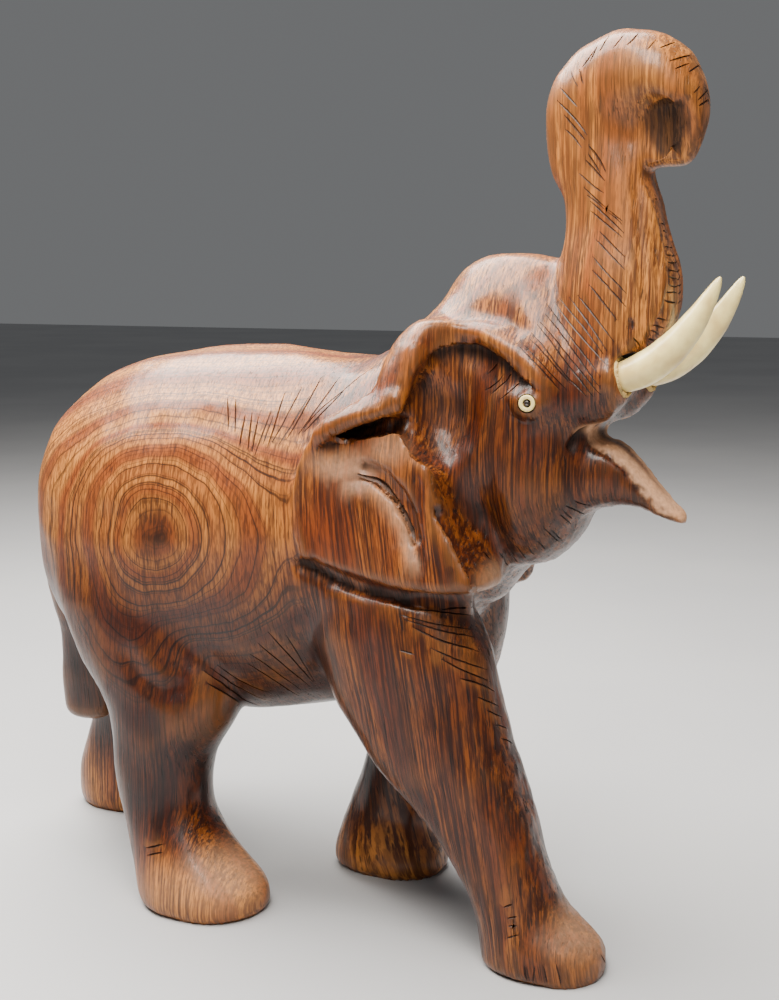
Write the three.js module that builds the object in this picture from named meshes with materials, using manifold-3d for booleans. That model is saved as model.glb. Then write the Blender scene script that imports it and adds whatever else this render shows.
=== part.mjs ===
// A carved hardwood elephant, walking with its trunk raised and curled over.
// One block carries the body, head, ears, trunk, legs and tail. Two tusks are set into it, each on a peg in
// a drilled socket with a ring of filler round its root, and two eyes, each a ring with a pin through it.
// Millimetres, +X forward, +Y to the animal's left, +Z up, origin on the ground under the middle.
import * as THREE from 'three';
import { LoftGeometry } from 'three/addons/geometries/LoftGeometry.js';
import { mergeVertices } from 'three/addons/utils/BufferGeometryUtils.js';
import Module from 'manifold-3d';

// ---------------------------------------------------------------- driving dimensions
// The block: the carver's pattern below is drawn for the nominal block and stretched to this one.
const BLOCK_LENGTH = 225; // heel of the trailing foot to the curl of the trunk
const BLOCK_WIDTH = 96; // across the feet
const BLOCK_HEIGHT = 246; // sole to the top of the curled trunk
const NOMINAL = { length: 225, width: 96, height: 246 };

const TUSK_DIAMETER = 8.2; // at the root
const TUSK_REACH = 35.5; // straight from the root to the tip
const TUSK_RISE = 0.8; // radians that the tip stands above the root
const TUSK_PITCH = 0.24; // radians that the tusk points up as it leaves the wood
const TUSK_SPREAD = 0.03; // radians that it turns outwards
const TUSK_PEG_DIAMETER = 4.4;
const TUSK_PEG_LENGTH = 8;
const TUSK_BOSS_WALL = 1; // wood left round the filler at the mouth of the socket
const TUSK_BOSS_LENGTH = 11;
const FILLER_WALL = 0.9; // ring of sawdust and glue round the tusk's root
const FILLER_DEPTH = 2.4;
const FILLER_PROUD = 0.4; // how far the filler stands out of the wood

const EYE_DIAMETER = 4.4;
const EYE_THICKNESS = 2.2;
const EYE_PROUD = 0.5; // how far the ring stands out of the wood
const EYE_TURN = 0.18; // radians that an eye is turned to the front
const EYE_PIN_DIAMETER = 1.5;
const EYE_PIN_LENGTH = 6.5;
const EYE_PIN_PROUD = 0.25; // how far the pin stands out of the ring

const GLUE_GAP = 0.3; // between two pieces that are glued together

const WOOD = 0x6b3517;
const BONE = 0xf0e3ae;
const FILLER = 0xb08a4e;
const DARK_PIN = 0x1d1512;

const wasm = await Module();
wasm.setup();

// ---------------------------------------------------------------- helpers
const STRETCH = new THREE.Vector3(
  BLOCK_LENGTH / NOMINAL.length,
  BLOCK_WIDTH / NOMINAL.width,
  BLOCK_HEIGHT / NOMINAL.height,
);
const RIGHT = -1;
const LEFT = 1;
const ACROSS = new THREE.Vector3(0, 1, 0);
const FORWARD = new THREE.Vector3(1, 0, 0);
const UP = new THREE.Vector3(0, 0, 1);
const DOWN = new THREE.Vector3(0, 0, -1);
const ROUNDED = 2.1; // squareness of a plain mass

// A closed geometry as a manifold-3d solid.
function solid(geometry) {
  const bare = new THREE.BufferGeometry();
  bare.setAttribute('position', geometry.attributes.position);
  bare.setIndex(geometry.index);
  const merged = mergeVertices(bare, 1e-4);
  return new wasm.Manifold(
    new wasm.Mesh({
      numProp: 3,
      vertProperties: merged.attributes.position.array,
      triVerts: new Uint32Array(merged.index.array),
    }),
  );
}

// A manifold-3d solid as a geometry.
function geometryOf(made) {
  const { vertProperties, triVerts } = made.getMesh();
  const geometry = new THREE.BufferGeometry();
  geometry.setAttribute('position', new THREE.BufferAttribute(new Float32Array(vertProperties), 3));
  geometry.setIndex(new THREE.BufferAttribute(new Uint32Array(triVerts), 1));
  return geometry;
}

// A rounded ring of points, `width` its half-size along `side` and `depth` along `out`. A squareness of
// 2 is an ellipse, and more is boxier.
function ring(centre, side, out, width, depth, squareness, count) {
  const reach = (value) => Math.sign(value) * Math.abs(value) ** (2 / squareness);
  return Array.from({ length: count }, (_, i) => {
    const angle = (i / count) * Math.PI * 2;
    return centre
      .clone()
      .addScaledVector(side, width * reach(Math.cos(angle)))
      .addScaledVector(out, depth * reach(Math.sin(angle)));
  });
}

// A closed mass through stations along a smooth line. A station is [x, y, z, half width, half depth,
// squareness]. Sections are square to the line, or all square to `along` where it is given. Width lies
// across the animal. Each end is domed, or flat where its dome is 0.
function mass(stations, { along = null, count = 22, steps = 3, startDome = 0.5, endDome = 0.5 } = {}) {
  const line = new THREE.CatmullRomCurve3(stations.map(([x, y, z]) => new THREE.Vector3(x, y, z)));
  const sizes = new THREE.CatmullRomCurve3(stations.map((station) => {
    const [, , , width, depth, squareness = ROUNDED] = station;
    return new THREE.Vector3(width, depth, squareness);
  }));
  const spans = (stations.length - 1) * steps;
  const sections = [];
  const place = (t, shrink, push) => {
    const direction = along ?? line.getTangent(t);
    const side = ACROSS.clone().addScaledVector(direction, -ACROSS.dot(direction)).normalize();
    const out = direction.clone().cross(side).normalize();
    const size = sizes.getPoint(t);
    const centre = line.getPoint(t).addScaledVector(direction, push * Math.min(size.x, size.y));
    sections.push(ring(centre, side, out, size.x * shrink, size.y * shrink, size.z, count));
  };
  const dome = [0.35, 0.95]; // angles round the dome, from its pole
  if (startDome) dome.forEach((angle) => place(0, Math.sin(angle), -Math.cos(angle) * startDome));
  for (let i = 0; i <= spans; i++) place(i / spans, 1, 0);
  if (endDome) dome.reverse().forEach((angle) => place(1, Math.sin(angle), Math.cos(angle) * endDome));
  const geometry = new LoftGeometry(sections, { capStart: true, capEnd: true });
  return solid(geometry.scale(STRETCH.x, STRETCH.y, STRETCH.z));
}

// A closed outline in the side view, as a slab between two distances from the middle of the animal, and
// leaning in by `lean` at its top.
function slab(points, { hand, inner, outer, lean, bevel = 0, tension = 0.5 }) {
  const outline = new THREE.CatmullRomCurve3(
    points.map(([x, z]) => new THREE.Vector3(x, z, 0)),
    true,
    'catmullrom',
    tension,
  );
  const shape = new THREE.Shape(outline.getPoints(points.length * 2).slice(1));
  const geometry = new THREE.ExtrudeGeometry(shape, {
    depth: outer - inner - bevel,
    bevelEnabled: bevel > 0,
    bevelThickness: bevel,
    bevelSize: bevel,
    bevelOffset: -bevel,
    bevelSegments: 1,
    steps: 1,
  });
  geometry.rotateX(Math.PI / 2); // the outline's y becomes height, and the slab grows towards -Y
  geometry.translate(0, -inner, 0);
  const middle = points.reduce((sum, [, z]) => sum + z, 0) / points.length;
  geometry.translate(0, 0, -middle).rotateX(-lean).translate(0, 0, middle);
  const made = solid(geometry.scale(STRETCH.x, STRETCH.y, STRETCH.z));
  return hand === RIGHT ? made : made.mirror([0, 1, 0]);
}

// A smooth egg: centre and half sizes, in the pattern's own millimetres.
function egg([x, y, z], [sx, sy, sz]) {
  const geometry = new THREE.SphereGeometry(1, 14, 9).scale(sx, sy, sz).translate(x, y, z);
  return solid(geometry.scale(STRETCH.x, STRETCH.y, STRETCH.z));
}

// ---------------------------------------------------------------- the carved block
function barrel() {
  const stations = [
    [-105.5, 0, 110, 12, 16],
    [-101.5, 0, 110, 20, 26.5],
    [-94, 0, 109.5, 29, 37],
    [-83, 0, 108, 36.3, 45],
    [-67, 0, 107, 40.5, 52],
    [-45, 0, 107.5, 42, 55.5],
    [-18, 0, 109.5, 41, 53.5],
    [8, 0, 112, 38.5, 50],
    [26, 0, 116, 34, 44],
    [37, 0, 120, 26, 33],
  ];
  return mass(stations, { along: FORWARD, count: 24, steps: 2, endDome: 0.25 });
}

function head() {
  const stations = [
    [53, 0, 106, 10, 8, 2],
    [54.5, 0, 110.5, 17, 12.5, 2.1],
    [55.5, 0, 119, 22.5, 16, 2.2],
    [55, 0, 129, 24.5, 18.5, 2.3],
    [53.5, 0, 141, 24, 19.5, 2.3],
    [53, 0, 152, 23.5, 24.5, 2.3],
    [53, 0, 161, 23, 26, 2.3],
    [50, 0, 170, 21, 23, 2.2],
    [49, 0, 179, 16, 18.5, 2.1],
    [50, 0, 185, 12, 15, 2.1],
    [51, 0, 188.5, 7, 9, 2],
  ];
  return mass(stations, { along: UP, count: 20, steps: 2, startDome: 0.1, endDome: 0.05 });
}

// From the shoulders up to the crown, with the dip behind the crown as its upper edge.
function neck() {
  const stations = [
    [2, 0, 123, 37, 37],
    [16, 0, 127, 35, 38.5],
    [26, 0, 131, 33, 42],
    [36, 0, 136, 30, 46],
    [46, 0, 138, 26, 44],
  ];
  return mass(stations, { along: FORWARD, count: 20, steps: 2, startDome: 0.3, endDome: 0.2 });
}

// The throat carries the ears down to the tops of the forelegs.
function throat() {
  const stations = [
    [22, 0, 116, 36, 30],
    [36, 0, 114, 35.5, 24],
    [45, 0, 112.5, 33, 14.5],
    [50, 0, 109.5, 29, 9],
  ];
  return mass(stations, { along: FORWARD, count: 16, steps: 2, startDome: 0.1, endDome: 0.15 });
}

function trunk() {
  const column = [
    [66, 0, 143, 13, 8, 2.2],
    [68.5, 0, 150, 15.5, 11, 2.3],
    [73, 0, 159, 16.5, 11.5, 2.4],
    [77, 0, 172, 15.5, 15.3, 2.5],
    [77.5, 0, 184, 14, 15.7, 2.5],
    [77, 0, 194, 12.7, 13.3, 2.5],
    [74.2, 0, 206, 12, 12.2, 2.5],
    [70.5, 0, 216, 12, 12.8, 2.5],
  ];
  const curl = [
    [71, 0, 208, 11, 11, 2.4],
    [70, 0, 218, 12, 12.5, 2.4],
    [71.5, 0, 228, 13, 13, 2.4],
    [79, 0, 234, 13.5, 12.3, 2.4],
    [86.5, 0, 231, 13, 12.4, 2.4],
    [90, 0, 222, 12, 10.3, 2.4],
    [89, 0, 212, 9.5, 7, 2.4],
  ];
  const scoops = [RIGHT, LEFT].map((hand) => egg([88, hand * 15, 217], [8.4, 9.5, 12]));
  return mass(column, { along: UP, count: 18, steps: 2 })
    .add(mass(curl, { count: 18, steps: 2, endDome: 0.15 }))
    .subtract(scoops[0])
    .subtract(scoops[1]);
}

// The lower lip is a thin pointed wedge, and the mouth is the gap above it.
function jaw() {
  const stations = [
    [62, 0, 129, 13, 15, 2.4],
    [72, 0, 130.5, 12, 11, 2.6],
    [79, 0, 130.5, 9.5, 8.8, 2.8],
    [86, 0, 127, 7, 5.6, 2.8],
    [92, 0, 122.5, 4.8, 3, 2.6],
    [97, 0, 119.8, 2.8, 1.2, 2.4],
  ];
  return mass(stations, { along: FORWARD, count: 18, steps: 2, endDome: 0.1 });
}

// A leg is level sections from the body down past the ground, and the ground cuts its sole.
function leg(stations) {
  return mass(stations, { along: DOWN, count: 18, steps: 2, startDome: 0.2, endDome: 0 });
}

const legs = [
  // right fore, reaching forward
  [
    [16, -20, 112, 17, 22, 2.3],
    [20, -22, 98, 17.5, 23, 2.5],
    [25.5, -23, 82, 17, 25.5, 2.5],
    [31, -23, 67, 16.5, 24.5, 2.5],
    [38, -23.5, 55, 15.5, 21, 2.5],
    [45.5, -23.5, 44, 14.5, 17.6, 2.5],
    [53, -24, 32, 13, 14.2, 2.5],
    [59.3, -24, 21, 12.6, 12.2, 2.4],
    [62.8, -24, 14, 13.4, 12.6, 2.3],
    [66.8, -24, 8, 15, 16, 2.2],
    [68, -24, 3, 15.6, 17, 2.2],
    [68, -24, -3, 13.8, 15.2, 2.2],
  ],
  // left fore, under the body
  [
    [16, 20, 108, 17, 22, 2.3],
    [17, 21.5, 88, 16.5, 22, 2.4],
    [15, 22, 67, 15, 20, 2.4],
    [10.5, 22, 49, 13.5, 15.8, 2.4],
    [4.5, 22, 33, 12.5, 13.4, 2.3],
    [0.8, 22, 20, 12.6, 13.6, 2.3],
    [0.5, 21.7, 11, 14, 16.6, 2.2],
    [1, 21.5, 4, 15.2, 19, 2.2],
    [1, 21.5, -3, 14, 17.6, 2.2],
  ],
  // right hind, under the body
  [
    [-70, -10, 130, 16, 22, 2.1],
    [-66, -19, 108, 20, 28, 2.2],
    [-60, -23, 86, 18, 27, 2.3],
    [-52, -25, 69, 17, 25, 2.4],
    [-48, -27, 56, 15.5, 19.5, 2.4],
    [-49.5, -28.3, 45, 14, 15, 2.4],
    [-48.3, -29, 29, 13.2, 13.2, 2.3],
    [-43, -29.8, 17, 14.4, 16, 2.2],
    [-36.8, -30.6, 8, 15.8, 19.8, 2.2],
    [-35.8, -30.8, 3, 16, 20.2, 2.2],
    [-35.8, -30.8, -3, 14.4, 18.4, 2.2],
  ],
  // left hind, trailing
  [
    [-72, 10, 130, 16, 21, 2.1],
    [-72, 18, 108, 20, 27, 2.2],
    [-78, 22, 86, 18, 25, 2.3],
    [-87, 25.5, 66, 16, 21.5, 2.4],
    [-97, 28.5, 46, 14, 16.8, 2.4],
    [-105, 31, 29, 13.2, 14.2, 2.3],
    [-108.5, 32.4, 17, 13.8, 15, 2.2],
    [-107.4, 33.2, 8, 15, 18, 2.2],
    [-106.5, 33.6, 3, 15.4, 18.6, 2.2],
    [-106.5, 33.6, -3, 14, 17, 2.2],
  ],
];

// The tail hangs against the rump and ends in a tuft that is left on the thigh behind it.
function tail() {
  const rope = [
    [-101, 0, 118, 6, 5],
    [-107.5, 1, 100, 5, 6],
    [-109, 3, 82, 4.4, 6.5],
    [-106.5, 6, 66, 4.2, 8],
    [-106, 9, 52, 4.6, 9.5],
    [-106.5, 11, 39, 5, 9.5],
  ];
  return mass(rope, { along: DOWN, count: 14, steps: 2, endDome: 0.5 });
}

// One ear lies back along the neck and shoulder: a flap with a rolled upper rim, a slot cut deep under
// the rim, and a curled fold inside.
function earOn(hand, whole) {
  const flap = slab(
    [
      [36, 151],
      [22, 147],
      [10, 141],
      [3, 131],
      [1.5, 118],
      [5, 106],
      [16, 102.5],
      [34, 99.5],
      [54, 101],
      [48, 112],
      [41, 128],
      [39, 144],
    ],
    { hand, inner: 18, outer: 40, lean: 0.08, bevel: 1.6 },
  );
  const rim = mass(
    [
      [41, hand * 17, 166, 7, 6],
      [33, hand * 24, 166, 6.5, 6.5],
      [29.5, hand * 29.5, 159, 6, 6.2],
      [26.5, hand * 34, 151, 4.6, 5.2],
      [17, hand * 36.4, 145.6, 3.8, 3.8],
      [9, hand * 37.6, 140.5, 3, 3],
      [4, hand * 38.4, 132, 2.6, 2.4],
      [2.6, hand * 38.8, 121, 2.4, 2],
      [5, hand * 39.4, 109, 2.6, 2.2],
    ],
    { count: 10, steps: 2 },
  );
  const slot = slab(
    [
      [40, 149],
      [30, 146],
      [18, 142],
      [8.5, 137.8],
      [18, 138.2],
      [30, 140.4],
      [41, 141],
    ],
    { hand, inner: 31, outer: 48, lean: 0.08, tension: 0.3 },
  );
  const fold = slab(
    [
      [17, 130.5],
      [24, 132],
      [30, 129.5],
      [35, 124],
      [38.5, 116],
      [39.5, 108],
      [36.5, 114],
      [32, 121],
      [26, 127.5],
    ],
    { hand, inner: 34.5, outer: 48, lean: 0.08 },
  );
  const undercut = slab(
    [
      [4, 105],
      [16, 101.5],
      [34, 98.4],
      [56, 99.6],
      [56, 95],
      [34, 95],
      [14, 97],
      [3, 100.5],
    ],
    { hand, inner: 33, outer: 50, lean: 0.08 },
  );
  return whole.add(flap).add(rim).subtract(slot).subtract(fold).subtract(undercut);
}

// The temple is scooped out behind the brow, and the eye sits on a low swelling in front of it.
function faceOn(hand, whole) {
  const brow = mass(
    [
      [37, hand * 17, 167, 5, 5],
      [44, hand * 18, 169, 5, 5],
      [52, hand * 18.5, 167, 5, 5],
      [59, hand * 19, 162, 5, 5],
      [64.5, hand * 19, 155.5, 4.6, 4.6],
      [66.5, hand * 18, 148, 4, 4],
    ],
    { count: 10, steps: 2 },
  );
  const eyelid = egg([61, hand * 17.5, 151], [9, 7.2, 8]);
  const lip = egg([71.5, hand * 10.5, 153.5], [11.6, 8.8, 10.5]);
  const temple = egg([42, hand * 32.5, 148], [12.5, 11.5, 16]);
  return whole.add(brow).subtract(temple).add(eyelid).add(lip);
}

// ---------------------------------------------------------------- what is set into the wood
const TUSK_ROOT = [82.6, 11.8, 157.6]; // in the pattern: the middle of the socket's mouth, on the left
const EYE_PLACE = [61.5, 151]; // in the pattern: the eye in the side view
const ROUND = 16; // sides of the turned pieces

// A turned piece: [radius, distance] from the seat outwards, closed on the axis or on itself.
function turned(profile, seat) {
  const geometry = new THREE.LatheGeometry(profile.map(([r, d]) => new THREE.Vector2(r, d)), ROUND);
  const upright = new THREE.Vector3(0, 1, 0); // a lathe turns about Y
  geometry.applyQuaternion(new THREE.Quaternion().setFromUnitVectors(upright, seat.axis));
  return solid(geometry.translate(seat.point.x, seat.point.y, seat.point.z));
}

function plug(radius, from, to, seat) {
  return turned([[0, from], [radius, from], [radius, to], [0, to]], seat);
}

function tube(inner, outer, from, to, seat) {
  return turned([[inner, from], [outer, from], [outer, to], [inner, to], [inner, from]], seat);
}

// Where a tusk sits: the middle of the mouth of its socket, and the way the tusk points there.
function tuskSeat(hand) {
  const [x, y, z] = TUSK_ROOT;
  const outwards = hand * Math.sin(TUSK_SPREAD);
  const axis = new THREE.Vector3(Math.cos(TUSK_PITCH), outwards, Math.sin(TUSK_PITCH)).normalize();
  return { point: new THREE.Vector3(x, hand * y, z).multiply(STRETCH), axis };
}

const fillerBore = TUSK_DIAMETER / 2 + GLUE_GAP;
const fillerRadius = fillerBore + FILLER_WALL;
const socketRadius = fillerRadius + GLUE_GAP;
const bossRadius = socketRadius + TUSK_BOSS_WALL;

function tuskBoss(seat) {
  const edge = 0.5; // rounding of the mouth
  const foot = [bossRadius + 1, -TUSK_BOSS_LENGTH];
  return turned([[0, -TUSK_BOSS_LENGTH], foot, [bossRadius, -edge], [bossRadius - edge, 0], [0, 0]], seat);
}

function tuskSocket(seat) {
  const floor = -FILLER_DEPTH - GLUE_GAP;
  const counterbore = plug(socketRadius, floor, TUSK_REACH, seat);
  const bore = plug(TUSK_PEG_DIAMETER / 2 + GLUE_GAP, floor - TUSK_PEG_LENGTH, floor + 1, seat);
  return counterbore.add(bore);
}

function filler(seat) {
  return tube(fillerBore, fillerRadius, -FILLER_DEPTH, FILLER_PROUD, seat);
}

// A tusk is a straight peg, a shoulder on the floor of the filler's recess, and a tapering upward curve.
function tusk(seat) {
  const across = ACROSS.clone().addScaledVector(seat.axis, -seat.axis.y).normalize();
  const upwards = seat.axis.clone().cross(across).normalize();
  const turn = new THREE.Quaternion().setFromAxisAngle(across, TUSK_PITCH - TUSK_RISE);
  const tip = seat.axis.clone().applyQuaternion(turn).multiplyScalar(TUSK_REACH).add(seat.point);
  const bend = seat.axis.clone().multiplyScalar(TUSK_REACH * 0.42).add(seat.point);
  const curve = new THREE.QuadraticBezierCurve3(seat.point, bend, tip);
  // share of the root's radius, at shares of the way to the tip
  const taper = new THREE.SplineCurve(
    [[0, 1], [0.2, 1.1], [0.45, 1.03], [0.7, 0.8], [0.88, 0.5], [0.97, 0.27], [1, 0.1]].map(
      ([way, share]) => new THREE.Vector2(way, share),
    ),
  );
  const sections = [];
  const place = (centre, along, radius) => {
    const side = ACROSS.clone().addScaledVector(along, -ACROSS.dot(along)).normalize();
    sections.push(ring(centre, side, along.clone().cross(side), radius, radius, 2, ROUND));
  };
  const straight = (distance, radius) =>
    place(seat.point.clone().addScaledVector(seat.axis, distance), seat.axis, radius);
  const peg = TUSK_PEG_DIAMETER / 2;
  straight(-FILLER_DEPTH - TUSK_PEG_LENGTH, peg * 0.8);
  straight(-FILLER_DEPTH - TUSK_PEG_LENGTH + 1, peg);
  straight(-FILLER_DEPTH, peg);
  straight(-FILLER_DEPTH, TUSK_DIAMETER / 2);
  const steps = 16;
  for (let i = 0; i <= steps; i++) {
    const share = taper.getPoint(i / steps);
    const way = Math.min(share.x, 1);
    place(curve.getPointAt(way), curve.getTangentAt(way), (share.y * TUSK_DIAMETER) / 2);
  }
  return solid(new LoftGeometry(sections, { capStart: true, capEnd: true }));
}

// Where an eye sits: the point of the wood beside EYE_PLACE, and the way the eye looks.
function eyeSeat(hand, wood) {
  const [x, z] = EYE_PLACE;
  const outside = new THREE.Vector3(x * STRETCH.x, hand * BLOCK_WIDTH, z * STRETCH.z);
  const surface = new THREE.Mesh(geometryOf(wood), new THREE.MeshBasicMaterial({ side: THREE.DoubleSide }));
  const [hit] = new THREE.Raycaster(outside, new THREE.Vector3(0, -hand, 0)).intersectObject(surface);
  const axis = new THREE.Vector3(Math.sin(EYE_TURN), hand * Math.cos(EYE_TURN), 0);
  return { point: hit.point, axis };
}

const eyeBore = EYE_PIN_DIAMETER / 2 + GLUE_GAP;

function eyeSocket(seat) {
  const floor = EYE_PROUD - EYE_THICKNESS - GLUE_GAP;
  const pinEnd = EYE_PROUD + EYE_PIN_PROUD - EYE_PIN_LENGTH - GLUE_GAP;
  const recess = plug(EYE_DIAMETER / 2 + GLUE_GAP, floor, EYE_DIAMETER, seat);
  return recess.add(plug(eyeBore, pinEnd, floor + 1, seat));
}

function eyeRing(seat) {
  const outer = EYE_DIAMETER / 2;
  const face = EYE_PROUD;
  const back = EYE_PROUD - EYE_THICKNESS;
  const edge = 0.25; // rounding of the ring's outer rim
  const inside = [eyeBore, back];
  const rim = [
    [outer, back],
    [outer, face - edge],
    [outer - edge, face],
  ];
  return turned([inside, ...rim, [eyeBore, face], inside], seat);
}

function eyePin(seat) {
  const face = EYE_PROUD + EYE_PIN_PROUD;
  const back = face - EYE_PIN_LENGTH;
  const radius = EYE_PIN_DIAMETER / 2;
  const edge = 0.3; // rounding of the pin's face
  return turned([[0, back], [radius, back], [radius, face - edge], [radius - edge, face], [0, face]], seat);
}

function ground() {
  const depth = BLOCK_HEIGHT;
  const slabBelow = new THREE.BoxGeometry(4 * BLOCK_LENGTH, 4 * BLOCK_WIDTH, depth);
  return solid(slabBelow.translate(0, 0, -depth / 2));
}

// ---------------------------------------------------------------- putting it together
let carving = [head(), neck(), throat(), trunk(), jaw(), tail(), ...legs.map(leg)].reduce(
  (whole, piece) => whole.add(piece),
  barrel(),
);
for (const hand of [RIGHT, LEFT]) {
  carving = faceOn(hand, earOn(hand, carving)).add(tuskBoss(tuskSeat(hand)));
}
carving = carving.subtract(ground());

const elephant = new THREE.Group();
const finish = (color, roughness) => new THREE.MeshStandardMaterial({ color, roughness, metalness: 0 });
function keep(name, made, material) {
  const mesh = new THREE.Mesh(geometryOf(made), material);
  mesh.name = name;
  elephant.add(mesh);
}

const sides = [
  { word: 'right', hand: RIGHT },
  { word: 'left', hand: LEFT },
];
for (const { word, hand } of sides) {
  const socket = tuskSeat(hand);
  carving = carving.subtract(tuskSocket(socket));
  keep(`tusk_${word}`, tusk(socket), finish(BONE, 0.35));
  keep(`tusk_filler_${word}`, filler(socket), finish(FILLER, 0.9));
  const eye = eyeSeat(hand, carving);
  carving = carving.subtract(eyeSocket(eye));
  keep(`eye_ring_${word}`, eyeRing(eye), finish(BONE, 0.3));
  keep(`eye_pin_${word}`, eyePin(eye), finish(DARK_PIN, 0.4));
}
keep('carved_body', carving, finish(WOOD, 0.35));

// The origin goes to the ground under the middle of the block.
const extent = new THREE.Box3().setFromObject(elephant);
const middle = extent.getCenter(new THREE.Vector3());
elephant.position.set(-middle.x, -middle.y, -extent.min.z);

export default elephant;
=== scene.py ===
"""Carved hardwood elephant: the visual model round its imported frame."""

import math

import bmesh
import bpy
import numpy as np
from mathutils import Matrix, Vector, noise
from mathutils.bvhtree import BVHTree


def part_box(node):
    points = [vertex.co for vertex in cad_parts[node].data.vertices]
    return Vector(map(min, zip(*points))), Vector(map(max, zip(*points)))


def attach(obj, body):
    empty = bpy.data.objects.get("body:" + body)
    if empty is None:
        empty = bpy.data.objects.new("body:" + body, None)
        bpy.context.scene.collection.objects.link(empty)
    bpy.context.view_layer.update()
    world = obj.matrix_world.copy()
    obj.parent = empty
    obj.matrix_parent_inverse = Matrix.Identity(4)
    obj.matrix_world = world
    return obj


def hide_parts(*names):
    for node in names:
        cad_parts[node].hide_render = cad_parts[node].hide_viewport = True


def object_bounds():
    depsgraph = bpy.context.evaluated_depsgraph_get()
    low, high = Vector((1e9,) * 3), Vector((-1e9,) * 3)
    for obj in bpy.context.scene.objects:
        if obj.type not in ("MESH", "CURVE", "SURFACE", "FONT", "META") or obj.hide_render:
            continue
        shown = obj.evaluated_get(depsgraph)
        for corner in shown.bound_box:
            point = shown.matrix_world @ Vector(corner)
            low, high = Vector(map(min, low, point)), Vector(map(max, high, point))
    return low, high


bl_info = {
    "name": "Carved Elephant",
    "version": (1, 0, 0),
    "blender": (4, 5, 0),
    "location": "View3D > Sidebar > Carving",
    "description": "Carves a wooden elephant with inlaid tusks and eyes, and lights it",
    "category": "Object",
}

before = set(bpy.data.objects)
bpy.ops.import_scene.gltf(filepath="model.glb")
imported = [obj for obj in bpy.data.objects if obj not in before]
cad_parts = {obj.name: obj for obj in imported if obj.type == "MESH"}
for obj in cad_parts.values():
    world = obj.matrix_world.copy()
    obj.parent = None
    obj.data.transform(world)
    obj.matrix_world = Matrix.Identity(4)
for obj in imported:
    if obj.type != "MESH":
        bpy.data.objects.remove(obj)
CAD_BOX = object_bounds()

# lengths are in millimetres and angles in radians, up to where a piece is finished in metres
MM = 0.001
MIDDLE = -1.1  # the plane that divides the animal's right side from its left
RIGHT, LEFT = -1, 1
HANDS = (RIGHT, LEFT)
SIDES = (("right", RIGHT), ("left", LEFT))

TUSK_SEAT = (91.3, 11.8, 157.6)  # forward, out from the middle, and up
TUSK_PITCH = 0.24  # upwards, where the tusk leaves the wood
TUSK_SPREAD = 0.03  # outwards
TUSK_RISE = 0.8  # of the tip above the root
TUSK_REACH = 35.5  # straight from the root to the tip
TUSK_RADIUS = 4.1
TUSK_BEND = 0.42  # share of the reach to the point that pulls the tusk's curve
TUSK_STEPS = 44
SOCKET_RADIUS = 5.6
SOCKET_DEPTH = 2.7
SOCKET_PLUG = 16.0  # depth to which the sockets are filled before the skin is remade
EYE_TURN = 0.18  # towards the front
EYE_RADIUS = 2.2
EYE_SINK = 0.6  # from the middle of an eye ring out to the wood
EYE_ROOM = 0.3  # round the ring in its recess
EYE_DEPTH = 2.0  # of the recess
PLUG_TOP = -0.35  # where the plugs stop under the wood's surface
DRILL_REACH = (14.0, 5.0)  # how far the tusk and eye drills stand out of the wood
SOFT_EDGE = math.radians(50)  # creases sharper than this stay crisp on the inlays
WOOD_EDGE = math.radians(40)

CAMERA_PLACE = (0.2067, -0.3861, 0.184)  # metres
CAMERA_DOWN = 8.6  # degrees
CAMERA_ROUND = 26  # degrees from square on
CAMERA_LENS = 54


# ---------------------------------------------------------------- places
def other_side(point, hand):
    """The same place on the right side of the animal, or mirrored to its left."""
    x, y, z = point
    return (x, y if hand == RIGHT else 2 * MIDDLE - y, z)


def tusk_seat(hand):
    """The middle of a tusk socket's mouth and the way the tusk points there, in millimetres."""
    axis = Vector((math.cos(TUSK_PITCH), hand * math.sin(TUSK_SPREAD), math.sin(TUSK_PITCH)))
    axis.normalize()
    forward, out, up = TUSK_SEAT
    return Vector((forward, MIDDLE + hand * out, up)), axis


def eye_seat(hand):
    """The middle of an eye where it meets the wood, and the way it looks, in millimetres."""
    word = "right" if hand == RIGHT else "left"
    low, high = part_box(f"eye_ring_{word}")
    axis = Vector((math.sin(EYE_TURN), hand * math.cos(EYE_TURN), 0))
    return (low + high) / 2 / MM + axis * EYE_SINK, axis


def facing(axis):
    """The turn that takes +Z to an axis."""
    return Vector((0, 0, 1)).rotation_difference(axis).to_matrix().to_4x4()


# ---------------------------------------------------------------- making pieces
def linked(name, data):
    """A new object in the scene, at the origin."""
    thing = bpy.data.objects.new(name, data)
    bpy.context.scene.collection.objects.link(thing)
    return thing


def piece_from(name, bm):
    """An object whose mesh is a bmesh in metres, which this uses up."""
    mesh = bpy.data.meshes.new(name)
    bm.to_mesh(mesh)
    bm.free()
    return linked(name, mesh)


def shown(name, bm, material):
    """A smooth piece from a bmesh in millimetres."""
    bmesh.ops.scale(bm, vec=(MM, MM, MM), verts=bm.verts)
    for face in bm.faces:
        face.smooth = True
    piece = piece_from(name, bm)
    piece.data.materials.append(material)
    return piece


def settle(piece):
    """Makes a piece's modifiers part of its mesh."""
    depsgraph = bpy.context.evaluated_depsgraph_get()
    mesh = bpy.data.meshes.new_from_object(piece.evaluated_get(depsgraph))
    piece.modifiers.clear()
    piece.data = mesh


def cut_away(piece, cutter):
    """Takes a closed cutter out of a piece."""
    cut = piece.modifiers.new("cut", "BOOLEAN")
    cut.operation = "DIFFERENCE"
    cut.solver = "MANIFOLD"
    cut.object = cutter
    settle(piece)
    bpy.data.objects.remove(cutter)


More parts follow.
